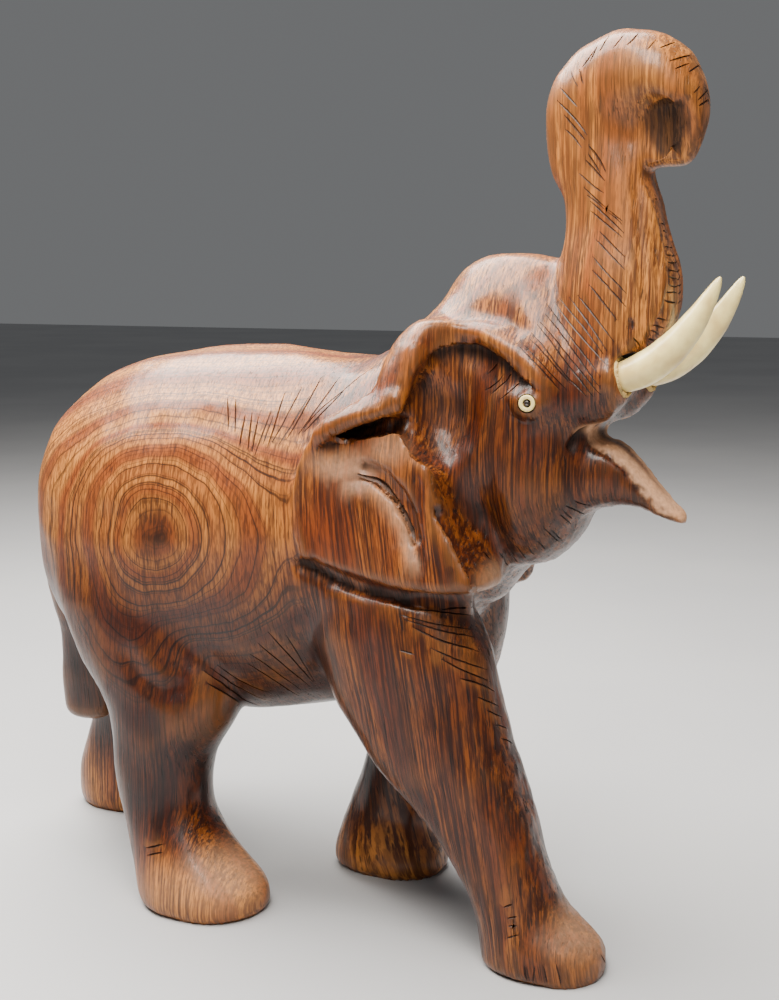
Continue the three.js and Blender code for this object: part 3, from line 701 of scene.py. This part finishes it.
# wood left standing in the ears' hollows, as lines with the roundness of the wood on them
STANDING_WOOD = (
    (
        5.5,
        (
            (11.5, -32.8, 106.8), (16.5, -32.9, 105.0), (22.0, -33.0, 103.2), (29.5, -33.1, 101.6),
            (37.0, -32.5, 100.4), (44.0, -29.8, 99.2), (49.8, -24.8, 98.0),
        ),
    ),
    (
        4.4,
        (
            (26.0, -34.0, 134.2), (30.0, -34.0, 134.4), (34.0, -34.1, 133.2), (37.2, -34.2, 130.4),
            (39.8, -34.4, 127.6), (42.0, -34.6, 124.2), (44.2, -34.8, 120.2), (46.3, -35.0, 116.2),
            (47.2, -35.2, 112.8),
        ),
    ),
)


def standing_wood(bm):
    """Adds rounded ridges to a bmesh in metres, where the ears' hollows stay shallow."""
    for hand in HANDS:
        for radius, line in STANDING_WOOD:
            places = [Vector(other_side(point, hand)) for point in line]
            for start, stop in zip(places, places[1:]):
                count = math.ceil((stop - start).length / (0.3 * radius))
                for index in range(count + 1):
                    place = Matrix.Translation(start.lerp(stop, index / count) * MM)
                    bmesh.ops.create_icosphere(bm, subdivisions=3, radius=radius * MM, matrix=place)


def carve_body(sizes, wood, dark):
    """The whole animal, remade as one even skin, carved, drilled and lined."""
    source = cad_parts["carved_body"].data
    bm = bmesh.new()
    bm.from_mesh(source)
    bmesh.ops.remove_doubles(bm, verts=bm.verts, dist=0.001 * MM)
    socket_plugs(bm, 0.5, (SOCKET_PLUG, SOCKET_PLUG), (PLUG_TOP, PLUG_TOP))
    standing_wood(bm)
    body = piece_from("elephant_body", bm)
    remesh = body.modifiers.new("skin", "REMESH")
    remesh.mode = "VOXEL"
    remesh.voxel_size = sizes.skin_grid
    settle(body)
    carve(Skin(body.data))
    thin = body.modifiers.new("thin", "DECIMATE")
    triangles = sum(len(face.vertices) - 2 for face in body.data.polygons)
    thin.ratio = min(1, sizes.skin_faces / triangles)
    settle(body)
    body.data.materials.clear()
    body.data.materials.append(wood)
    body.data.materials.append(dark)

    drills = bmesh.new()
    socket_plugs(drills, 0, (SOCKET_DEPTH, EYE_DEPTH), DRILL_REACH)
    drill = piece_from("drills", drills)
    drill.data.materials.append(dark)
    cut_away(body, drill)

    knife = knife_cutter(body.data, sizes.knife_width / MM / 2)
    knife.data.materials.append(dark)
    cut_away(body, knife)
    drop_slivers(body.data, fewest=40)
    for face in body.data.polygons:
        face.use_smooth = True
    body.data.set_sharp_from_angle(angle=WOOD_EDGE)
    mark_wear_and_shade(body.data)
    return body


CURL_HOLLOW_SHADE = ((102.3, -8.0, 218.0), (6.2, 8, 9.5))  # painted shade, with some darker stain, in the hollow under the curl: centre and radii

# parts of the surface left pale and rough, or worn: centre, radii and strength
PALE = (
    ((25, -42, 134), (10, 8, 4), 0.5),
    ((37, -40, 139), (6, 8, 4), 0.3),
    ((62, -26, 100), (6, 12, 8), 0.5),
    ((84, -22, 10), (14, 14, 8), 0.4),
    ((-22, -34, 10), (18, 14, 9), 0.45),
    ((-36, -34, 6), (18, 16, 6), 0.35),
)


def mark_wear_and_shade(mesh):
    """Keeps, at each point, how hollow the surface is there, with painted shade added under the curl, and
    how pale and rough it was left.
    """
    skin = Skin(mesh)
    hollow = np.sum((skin.blurred(skin.points, 14) - skin.points) * skin.normals, axis=1)
    hollow = skin.blurred(hollow[:, None], 4)[:, 0]
    # painted shade, with some darker stain, added in the hollow under the curl
    hollow += 0.6 * within(skin.points, *CURL_HOLLOW_SHADE, 0.5)
    worn = np.zeros(len(hollow))
    for centre, radii, strength in PALE:
        worn = np.maximum(worn, strength * within(skin.points, centre, radii, 0.5))
    for line, above, reach, strength in ((JAW_RIM, 1, 8, 1.0), (CRESCENT, -1, 5, 0.4)):
        for hand in HANDS:
            chosen, distance, _, side = skin.near(line, hand, reach)
            strip = band(distance * np.sign(side) * above, -0.6, 0.8)
            strip = strip * (1 - band(distance, 0.5 * reach, reach))
            worn[chosen] = np.maximum(worn[chosen], strength * strip)
    worn = skin.blurred(worn[:, None], 1)[:, 0]
    for name, values in (("hollow", hollow), ("worn", worn)):
        layer = mesh.attributes.new(name, "FLOAT", "POINT")
        layer.data.foreach_set("value", values.astype(np.float32))


# ---------------------------------------------------------------- finishes
class Signal:
    """A socket in a finish, on which Python arithmetic adds Math nodes."""

    def __init__(self, bench, socket):
        self.bench = bench
        self.socket = socket

    def maths(self, operation, first, second):
        return self.bench.node("ShaderNodeMath", {"operation": operation}, {0: first, 1: second})

    def __add__(self, other):
        return self.maths("ADD", self, other)

    __radd__ = __add__

    def __sub__(self, other):
        return self.maths("SUBTRACT", self, other)

    def __rsub__(self, other):
        return self.maths("SUBTRACT", other, self)

    def __mul__(self, other):
        return self.maths("MULTIPLY", self, other)

    __rmul__ = __mul__

    def __truediv__(self, other):
        return self.maths("DIVIDE", self, other)

    def __rtruediv__(self, other):
        return self.maths("DIVIDE", other, self)

    def __pow__(self, other):
        return self.maths("POWER", self, other)

    def least(self, other):
        return self.maths("MINIMUM", self, other)

    def most(self, other):
        return self.maths("MAXIMUM", self, other)

    def between(self, low, high):
        """0 at low, 1 at high, and a smooth rise between."""
        return self.bench.node(
            "ShaderNodeMapRange",
            {"interpolation_type": "SMOOTHSTEP"},
            {"Value": self, "From Min": low, "From Max": high},
        )


class Bench:
    """The nodes of one finish."""

    def __init__(self, name):
        self.material = bpy.data.materials.new(name)
        self.material.use_nodes = True
        self.tree = self.material.node_tree
        self.tree.nodes.clear()

    def node(self, kind, settings=None, inputs=None, output=0):
        made = self.tree.nodes.new(kind)
        for key, value in (settings or {}).items():
            setattr(made, key, value)
        for key, value in (inputs or {}).items():
            if isinstance(value, Signal):
                self.tree.links.new(value.socket, made.inputs[key])
            else:
                made.inputs[key].default_value = value
        return Signal(self, made.outputs[output]) if made.outputs else None

    def place(self):
        """The point of the surface in millimetres."""
        here = self.node("ShaderNodeTexCoord", output="Object")
        return self.node("ShaderNodeVectorMath", {"operation": "SCALE"}, {0: here, "Scale": 1 / MM})

    def parts(self, vector):
        return [self.node("ShaderNodeSeparateXYZ", inputs={0: vector}, output=axis) for axis in range(3)]

    def joined(self, x, y, z):
        return self.node("ShaderNodeCombineXYZ", inputs={0: x, 1: y, 2: z})

    def speckle(self, vector, scale=1.0, detail=2.0, roughness=0.5):
        return self.node(
            "ShaderNodeTexNoise",
            {"noise_dimensions": "3D"},
            {"Vector": vector, "Scale": scale, "Detail": detail, "Roughness": roughness},
        )

    def bands(self, distance, detail=1.0):
        return self.node(
            "ShaderNodeTexNoise",
            {"noise_dimensions": "1D"},
            {"W": distance, "Scale": 1.0, "Detail": detail},
        )

    def kept(self, name):
        """A value kept on the surface under a name."""
        return self.node("ShaderNodeAttribute", {"attribute_name": name}, output="Fac")

    def tint(self, share, first, second, blend="MIX"):
        return self.node(
            "ShaderNodeMix",
            {"data_type": "RGBA", "blend_type": blend},
            {0: share, 6: first, 7: second},
            output=2,
        )

    def surface(self, varying, plain):
        """Ends the finish in one shader, with the values that vary and those that don't."""
        shader = self.node("ShaderNodeBsdfPrincipled", inputs={**plain, **varying})
        self.node("ShaderNodeOutputMaterial", inputs={"Surface": shader})
        return self.material

    def relief(self, height, distance, strength):
        """Fine relief from a height that varies, over a distance in millimetres."""
        return self.node(
            "ShaderNodeBump", inputs={"Strength": strength, "Distance": distance * MM, "Height": height}
        )


SHADE_TINT = (0.20, 0.13, 0.09, 1)  # painted shade: multiplies the wood's colour on the belly, thighs and cheeks, where shade falls
BELOW_CROWN_SHADE_TINT = (0.60, 0.45, 0.30, 1)  # painted shade: multiplies the wood's colour on the long fibres below the crown, so the crown stays lighter as under light from above


def rosewood(colours, name, depth=0.0):
    """Waxed hardwood: rings about a distant heart, straight fibres, dark pores and pale worn places, with
    painted shade on the belly, thighs, cheeks and below the crown, dark wax and painted shade in the
    hollows, and painted light on the crown.

    The depth is how far the wood is darkened, as it is inside a cut.
    """
    bench = Bench(name)
    place = bench.place()
    x, y, z = bench.parts(place)
    lean = (z - 125).least(0) * 0.16 * x.between(-8, 30)
    across = x + lean
    # slow and quick wandering of the grain
    slow = bench.speckle(bench.joined(across / 60, y / 60, z / 110), detail=1) - 0.5
    quick = bench.speckle(bench.joined(across / 10, y / 10, z / 26), detail=1) - 0.5
    away = ((x + 34.3) ** 2 + (y + 44) ** 2 + ((z - 112.7) * 0.76) ** 2) ** 0.5
    knot = 1 / (1 + (away / 30) ** 2)
    ring = ((across + 38) ** 2 + (y - 74) ** 2) ** 0.5
    ring = ring + slow * 5 + quick * (1.0 + 1.6 * knot) + knot * 36
    broad = bench.bands(ring * 0.14, 2)
    bands = bench.bands(ring * 1.1, 2)
    fine = bench.bands(ring * 3.4, 1)

    # how far the surface shows the long fibres rather than the rings
    long_grain = x.between(0, 16).most(1 - z.between(52, 78))
    bent = across + quick * 0.8
    fibre = bench.speckle(bench.joined(bent * 1.6, y * 0.35, z * 0.022), detail=4, roughness=0.7)
    flecks = bench.speckle(bench.joined(bent * 1.7, y * 0.7, z * 0.26), detail=2).between(0.46, 0.6)
    pores = bench.speckle(bench.joined(across * 2.6, y * 0.8, z * 0.1), detail=1).between(0.62, 0.7)
    figure = bench.speckle(bench.joined(bent / 2.6, y / 10, z / 130), detail=3)
    streak = figure.between(0.5, 0.66) * (0.2 + 0.8 * long_grain)
    vein = bench.speckle(bench.joined(across * 0.55, y * 0.4, z * 0.006), detail=1).between(0.6, 0.68)

    light = bench.tint(broad.between(0.38, 0.62), colours.honey, colours.russet)
    wood = bench.tint((fibre.between(0.42, 0.58) - 0.5 * (1 - long_grain)).most(0), light, colours.brown)
    wood = bench.tint(flecks * (0.62 - 0.15 * long_grain), wood, colours.brown)
    dark_ring = bands.between(0.5, 0.64) * (0.3 + 0.7 * fine.between(0.4, 0.6)) * (1 - 0.8 * long_grain)
    wood = bench.tint(dark_ring * 0.9, wood, colours.umber)
    wood = bench.tint(streak * 0.4, wood, colours.umber)
    wood = bench.tint(vein * z.between(160, 176) * 0.6, wood, colours.umber)
    wood = bench.tint(pores * (0.35 + 0.45 * long_grain), wood, colours.pore)
    heart = (1 - (away + 4 * quick).between(2, 12)) * (0.5 + 0.2 * flecks)
    wood = bench.tint(heart, wood, colours.umber)

    # painted shade: the wood is darkened towards the belly, the thighs and the cheeks, where shade falls
    shade = (1 - z.between(84, 120)) * z.between(10, 34) * (1 - 0.45 * x.between(10, 30))
    cheek_shade = x.between(44, 58) * (1 - z.between(150, 166)) * 0.6
    wood = bench.tint(shade.most(cheek_shade), wood, SHADE_TINT, "MULTIPLY")
    # painted shade: the long fibres below the crown are darkened, leaving the top lighter
    below_crown_shade = long_grain * (1 - z.between(150, 176)) * z.between(8, 26)
    wood = bench.tint(below_crown_shade * 0.85, wood, BELOW_CROWN_SHADE_TINT, "MULTIPLY")
    # painted light: the crown, trunk and curl are lifted towards honey, as the light from above falls
    # most on them
    wood = bench.tint(z.between(168, 205) * 0.15, wood, colours.honey)

    worn = bench.kept("worn")
    hollow = bench.kept("hollow")
    dust = bench.speckle(place, scale=0.9, detail=3)
    pale = worn * (0.45 + 0.75 * dust)
    wood = bench.tint(pale * 0.9, wood, colours.worn)
    # dark wax and painted shade: the hollows are darkened towards the pore colour
    grime_and_shade = hollow.between(0.12, 0.55)
    wood = bench.tint(grime_and_shade * 0.8, wood, colours.pore)
    # the ridges are lightened a little towards honey, the reverse of the darkening in the hollows
    ridge_lightening = (0 - hollow).between(0.12, 0.5)
    wood = bench.tint(ridge_lightening * 0.15, wood, colours.honey)
    if depth:
        wood = bench.tint(depth, wood, colours.pore)

    blotch = bench.speckle(place, scale=0.07, detail=3)
    rough = 0.3 + 0.12 * fibre + 0.14 * blotch + 0.4 * pale + 0.25 * grime_and_shade + 0.2 * pores
    height = fibre * 0.5 - pores * 0.6 + 0.25 * bench.speckle(place, scale=0.35) + worn * dust * 1.5
    return bench.surface(
        {
            "Base Color": wood,
            "Roughness": rough.least(1),
            "Coat Weight": (0.4 - 0.35 * pale - 0.3 * grime_and_shade - depth * 0.3).most(0),
            "Normal": bench.relief(height, 0.22, 0.75),
        },
        {"IOR": 1.45, "Specular IOR Level": 0.3, "Coat Roughness": 0.2, "Coat IOR": 1.4},
    )


def resin(colours, name, colour):
    """Smooth cream resin, a little clouded and yellowed."""
    bench = Bench(name)
    place = bench.place()
    cloud = bench.speckle(place, scale=0.12, detail=3)
    hair = bench.speckle(place, scale=2.2, detail=2)
    body = bench.tint(cloud.between(0.35, 0.7), colour, colours.amber)
    x = bench.parts(place)[0]
    body = bench.tint((1 - x.between(88, 99)) * 0.45, body, colours.amber)
    return bench.surface(
        {"Base Color": body, "Roughness": 0.24 + 0.14 * hair, "Normal": bench.relief(hair, 0.02, 0.4)},
        {"IOR": 1.52, "Coat Weight": 0.3, "Coat Roughness": 0.12},
    )


def crumbs(colours, name):
    """Sawdust and glue, granular and uneven."""
    bench = Bench(name)
    place = bench.place()
    grain = bench.speckle(place, scale=1.8, detail=4, roughness=0.7)
    lump = bench.speckle(place, scale=0.6, detail=2)
    body = bench.tint(grain.between(0.4, 0.62), colours.sawdust, colours.amber)
    body = bench.tint(lump.between(0.55, 0.75) * 0.7, body, colours.umber)
    return bench.surface(
        {"Base Color": body, "Roughness": 0.65 + 0.3 * grain, "Normal": bench.relief(grain, 0.35, 0.9)},
        {"IOR": 1.45},
    )


def pinhead(colours, name):
    """A dark waxed peg, flecked with brown."""
    bench = Bench(name)
    place = bench.place()
    grain = bench.speckle(place, scale=3.0, detail=3)
    body = bench.tint(grain.between(0.5, 0.66), colours.pore, colours.brown)
    return bench.surface(
        {"Base Color": body, "Roughness": 0.3 + 0.3 * grain, "Normal": bench.relief(grain, 0.05, 0.6)},
        {"IOR": 1.5, "Coat Weight": 0.3},
    )


def studio_floor(colours):
    """Pale matt floor with the faintest clouding."""
    bench = Bench("pale_floor")
    place = bench.place()
    cloud = bench.speckle(place, scale=0.004, detail=4)
    body = bench.tint(cloud.between(0.3, 0.7), colours.floor, colours.floor_shade)
    return bench.surface({"Base Color": body, "Roughness": 0.5 + 0.15 * cloud}, {"IOR": 1.4})


# ---------------------------------------------------------------- inlays
def turned(profile, seat, axis, sides=48):
    """A closed profile of (radius, height) in millimetres, spun about an axis."""
    bm = bmesh.new()
    points = [bm.verts.new((radius, 0, height)) for radius, height in profile]
    edges = [bm.edges.new((first, second)) for first, second in zip(points, points[1:])]
    if profile[0][0] > 0:
        edges.append(bm.edges.new((points[-1], points[0])))
    bmesh.ops.spin(
        bm,
        geom=points + edges,
        cent=(0, 0, 0),
        axis=(0, 0, 1),
        angle=2 * math.pi,
        steps=sides,
        use_merge=True,
    )
    bmesh.ops.remove_doubles(bm, verts=bm.verts, dist=0.0005)
    bmesh.ops.recalc_face_normals(bm, faces=bm.faces)
    bmesh.ops.transform(bm, matrix=Matrix.Translation(seat) @ facing(axis), verts=bm.verts)
    return bm


def tusk_mesh(hand):
    """A tapering upward curve that stands in its socket, in millimetres."""
    seat, axis = tusk_seat(hand)
    sideways = Vector((0, 1, 0))
    across = (sideways - axis * sideways.dot(axis)).normalized()
    tip = seat + Matrix.Rotation(TUSK_PITCH - TUSK_RISE, 3, across) @ axis * TUSK_REACH
    bend = seat + axis * TUSK_REACH * TUSK_BEND
    # how thick the tusk is along its way, in shares of its radius at the root
    ways, shares = zip((0, 1), (0.2, 1.1), (0.45, 1.03), (0.7, 0.8), (0.88, 0.5), (0.97, 0.27), (1, 0.08))

    def ring_at(centre, along, radius):
        return Matrix.Translation(centre) @ facing(along) @ Matrix.Diagonal((radius, radius, 1, 1))

    stations = [ring_at(seat - axis * (SOCKET_DEPTH - 0.3), axis, TUSK_RADIUS * 0.97)]
    for step in range(TUSK_STEPS + 1):
        way = step / TUSK_STEPS
        centre = (1 - way) ** 2 * seat + 2 * way * (1 - way) * bend + way * way * tip
        along = ((1 - way) * (bend - seat) + way * (tip - bend)).normalized()
        stations.append(ring_at(centre, along, TUSK_RADIUS * np.interp(way, ways, shares)))
    bm = bmesh.new()
    bmesh.ops.create_circle(bm, cap_ends=True, segments=36, radius=1, matrix=stations[0])
    edges = bm.edges[:]
    for before, after in zip(stations, stations[1:]):
        grown = bmesh.ops.extrude_edge_only(bm, edges=edges)["geom"]
        verts = [item for item in grown if isinstance(item, bmesh.types.BMVert)]
        edges = [item for item in grown if isinstance(item, bmesh.types.BMEdge)]
        bmesh.ops.transform(bm, matrix=after @ before.inverted(), verts=verts)
    bmesh.ops.contextual_create(bm, geom=edges)
    bmesh.ops.recalc_face_normals(bm, faces=bm.faces)
    return bm


def filler_mesh(hand):
    """A ragged ring of crumbs pressed in round the tusk's root, in millimetres."""
    seat, axis = tusk_seat(hand)
    inner, outer = TUSK_RADIUS + 0.22, SOCKET_RADIUS - 0.12
    crown = [
        (inner + (outer - inner) * share, 0.35 + 0.25 * math.sin(math.pi * share))
        for share in (0, 0.3, 0.6, 0.9)
    ]
    bm = turned([(inner, -2.5), (outer, -2.5), (outer, -0.3), *reversed(crown)], seat, axis, sides=72)
    for vert in bm.verts:
        height = (vert.co - seat).dot(axis)
        if height > -0.5:
            vert.co += axis * 0.55 * noise.noise(vert.co * 1.3)
            vert.co += axis * 0.3 * noise.noise(vert.co * 3.7)
    return bm


def eye_ring_mesh(hand):
    """A cream ring with a softened rim, in millimetres."""
    seat, axis = eye_seat(hand)
    bore = 1.05
    outside = [(EYE_RADIUS, -1.7), (EYE_RADIUS, 0.2), (EYE_RADIUS - 0.08, 0.38), (EYE_RADIUS - 0.3, 0.5)]
    profile = [(bore, -1.7), *outside, (bore + 0.25, 0.5), (bore + 0.06, 0.42), (bore, 0.25)]
    return turned(profile, seat, axis)


def eye_pin_mesh(hand):
    """A dark peg with a dished face, in millimetres."""
    seat, axis = eye_seat(hand)
    face = [(0.75, 0.5), (0.62, 0.68), (0.42, 0.72), (0.3, 0.6), (0, 0.55)]
    return turned([(0, -5.7), (0.75, -5.7), *face], seat, axis, sides=32)


# ---------------------------------------------------------------- what a user may change
def colour(name, description, value):
    """A colour setting, from its red, green and blue."""
    return bpy.props.FloatVectorProperty(
        name=name, description=description, subtype="COLOR", size=4, min=0, max=1, default=(*value, 1)
    )


class CarvingSizes(bpy.types.PropertyGroup):
    """Sizes of the carving."""

    skin_grid: bpy.props.FloatProperty(
        name="Skin grid",
        description="Grid of the even skin before it is carved",
        default=0.0009,
        unit="LENGTH",
    )
    skin_faces: bpy.props.IntProperty(
        name="Skin faces", description="Triangles left in the skin before it is lined", default=126000
    )
    knife_width: bpy.props.FloatProperty(
        name="Knife width", description="Width of the knife lines", default=0.0006, unit="LENGTH"
    )


class CarvingColours(bpy.types.PropertyGroup):
    """Colours of the carving and its floor."""

    honey: colour("Honey", "Lightest wood", (0.50, 0.185, 0.034))
    russet: colour("Russet", "Warm wood", (0.26, 0.062, 0.011))
    brown: colour("Brown", "Plain wood", (0.068, 0.016, 0.004))
    umber: colour("Umber", "Dark rings and streaks", (0.018, 0.006, 0.003))
    # the pore colour is also laid in the hollows as painted shade, with the dark wax
    pore: colour("Pore", "Open pores and wax in hollows", (0.006, 0.003, 0.002))
    worn: colour("Worn", "Pale, unpolished wood", (0.66, 0.37, 0.21))
    cream: colour("Cream", "Tusks and eye rings", (0.98, 0.81, 0.33))
    amber: colour("Amber", "Yellowing of the tusks", (0.66, 0.47, 0.17))
    sawdust: colour("Sawdust", "Filler at the roots of the tusks", (0.50, 0.33, 0.12))
    floor: colour("Floor", "Floor", (0.42, 0.42, 0.425))
    floor_shade: colour("Floor shade", "Clouding of the floor", (0.38, 0.38, 0.39))


class StageSettings(bpy.types.PropertyGroup):
    """Lights and camera."""

    ceiling: bpy.props.FloatProperty(
        name="Ceiling light", description="Power of the wide light overhead", default=26.0, unit="POWER"
    )
    key: bpy.props.FloatProperty(
        name="Key light", description="Power of the small light above the head", default=6.5, unit="POWER"
    )
    fill: bpy.props.FloatProperty(
        name="Fill light", description="Power of the wide light out in front", default=0.6, unit="POWER"
    )
    ambient: bpy.props.FloatProperty(
        name="Ambient light", description="Strength of the light all round", default=0.18, min=0, max=2
    )


# ---------------------------------------------------------------- operators
class ELEPHANT_OT_body(bpy.types.Operator):
    """Carve the animal from one block of wood"""

    bl_idname = "elephant.body"
    bl_label = "Body"

    def execute(self, context):
        colours = context.scene.carving_colours
        wood = rosewood(colours, "waxed_rosewood")
        dark = rosewood(colours, "cut_rosewood", depth=0.7)
        body = carve_body(context.scene.carving_sizes, wood, dark)
        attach(body, "root")
        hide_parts("carved_body")
        return {"FINISHED"}


class ELEPHANT_OT_tusks(bpy.types.Operator):
    """Set the tusks in their sockets with sawdust and glue"""

    bl_idname = "elephant.tusks"
    bl_label = "Tusks"

    def execute(self, context):
        colours = context.scene.carving_colours
        cream = resin(colours, "tusk_resin", colours.cream)
        packing = crumbs(colours, "sawdust_and_glue")
        for word, hand in SIDES:
            tusk = shown(f"cream_tusk_{word}", tusk_mesh(hand), cream)
            tusk.data.set_sharp_from_angle(angle=SOFT_EDGE)
            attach(tusk, "root")
            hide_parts(f"tusk_{word}")
            packed = shown(f"packed_sawdust_{word}", filler_mesh(hand), packing)
            packed.data.set_sharp_from_angle(angle=SOFT_EDGE)
            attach(packed, "root")
            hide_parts(f"tusk_filler_{word}")
        return {"FINISHED"}


class ELEPHANT_OT_eyes(bpy.types.Operator):
    """Set a ring and a pin in each eye"""

    bl_idname = "elephant.eyes"
    bl_label = "Eyes"

    def execute(self, context):
        colours = context.scene.carving_colours
        cream = resin(colours, "eye_resin", colours.cream)
        dark = pinhead(colours, "dark_pin")
        for word, hand in SIDES:
            for name, mesh, material, node in (
                ("cream_eye", eye_ring_mesh(hand), cream, "eye_ring"),
                ("eye_peg", eye_pin_mesh(hand), dark, "eye_pin"),
            ):
                piece = shown(f"{name}_{word}", mesh, material)
                piece.data.set_sharp_from_angle(angle=SOFT_EDGE)
                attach(piece, "root")
                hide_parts(f"{node}_{word}")
        return {"FINISHED"}


def lamp(name, place, target, size, power, tone):
    """Hangs an oblong soft light that looks at a point, in metres."""
    light = bpy.data.lights.new(name, "AREA")
    light.shape = "RECTANGLE"
    light.size, light.size_y = size
    light.energy = power
    light.color = tone
    fixture = linked(name, light)
    fixture.location = place
    fixture.rotation_euler = (Vector(target) - Vector(place)).to_track_quat("-Z", "Y").to_euler()


class ELEPHANT_OT_stage(bpy.types.Operator):
    """Lay the floor, light the animal and place the camera"""

    bl_idname = "elephant.stage"
    bl_label = "Stage"

    def execute(self, context):
        scene = context.scene
        settings = scene.carving_stage
        bm = bmesh.new()
        bmesh.ops.create_grid(bm, x_segments=8, y_segments=8, size=4000)
        floor = shown("floor", bm, studio_floor(scene.carving_colours))
        middle = (0, 0, 0.11)
        lamp("ceiling_light", (-0.22, 0.02, 0.66), middle, (0.7, 0.6), settings.ceiling, (1, 0.96, 0.9))
        lamp("key_light", (0.17, -0.34, 0.60), (0.06, 0, 0.19), (0.3, 0.3), settings.key, (1, 0.95, 0.88))
        lamp("fill_light", (1.0, -0.7, 0.45), middle, (0.7, 0.9), settings.fill, (0.95, 0.98, 1))
        world = bpy.data.worlds.new("studio")
        world.use_nodes = True
        sky = world.node_tree.nodes["Background"]
        sky.inputs["Color"].default_value = (0.86, 0.88, 0.9, 1)
        sky.inputs["Strength"].default_value = settings.ambient
        scene.world = world

        lens = bpy.data.cameras.new("camera")
        lens.sensor_fit = "AUTO"
        lens.sensor_width = 36
        lens.lens = CAMERA_LENS
        lens.clip_start = 0.01
        camera = linked("camera", lens)
        camera.location = CAMERA_PLACE
        camera.rotation_euler = (math.radians(90 - CAMERA_DOWN), 0, math.radians(CAMERA_ROUND))
        scene.camera = camera
        return {"FINISHED"}


class ELEPHANT_PT_carving(bpy.types.Panel):
    """Lists the steps of the carving"""

    bl_idname = "ELEPHANT_PT_carving"
    bl_label = "Carved Elephant"
    bl_space_type = "VIEW_3D"
    bl_region_type = "UI"
    bl_category = "Carving"

    def draw(self, context):
        layout = self.layout
        for step in STEPS:
            layout.operator(step.bl_idname)
        scene = context.scene
        for settings in (scene.carving_sizes, scene.carving_colours, scene.carving_stage):
            box = layout.box()
            for name in settings.__annotations__:
                box.prop(settings, name)


STEPS = (ELEPHANT_OT_body, ELEPHANT_OT_tusks, ELEPHANT_OT_eyes, ELEPHANT_OT_stage)
CLASSES = (CarvingSizes, CarvingColours, StageSettings, *STEPS, ELEPHANT_PT_carving)


def register():
    for kind in CLASSES:
        bpy.utils.register_class(kind)
    bpy.types.Scene.carving_sizes = bpy.props.PointerProperty(type=CarvingSizes)
    bpy.types.Scene.carving_colours = bpy.props.PointerProperty(type=CarvingColours)
    bpy.types.Scene.carving_stage = bpy.props.PointerProperty(type=StageSettings)


def unregister():
    del bpy.types.Scene.carving_stage
    del bpy.types.Scene.carving_colours
    del bpy.types.Scene.carving_sizes
    for kind in reversed(CLASSES):
        bpy.utils.unregister_class(kind)


def main():
    register()
    bpy.ops.elephant.body()
    bpy.ops.elephant.tusks()
    bpy.ops.elephant.eyes()
    bpy.ops.elephant.stage()


if __name__ == "__main__":
    main()
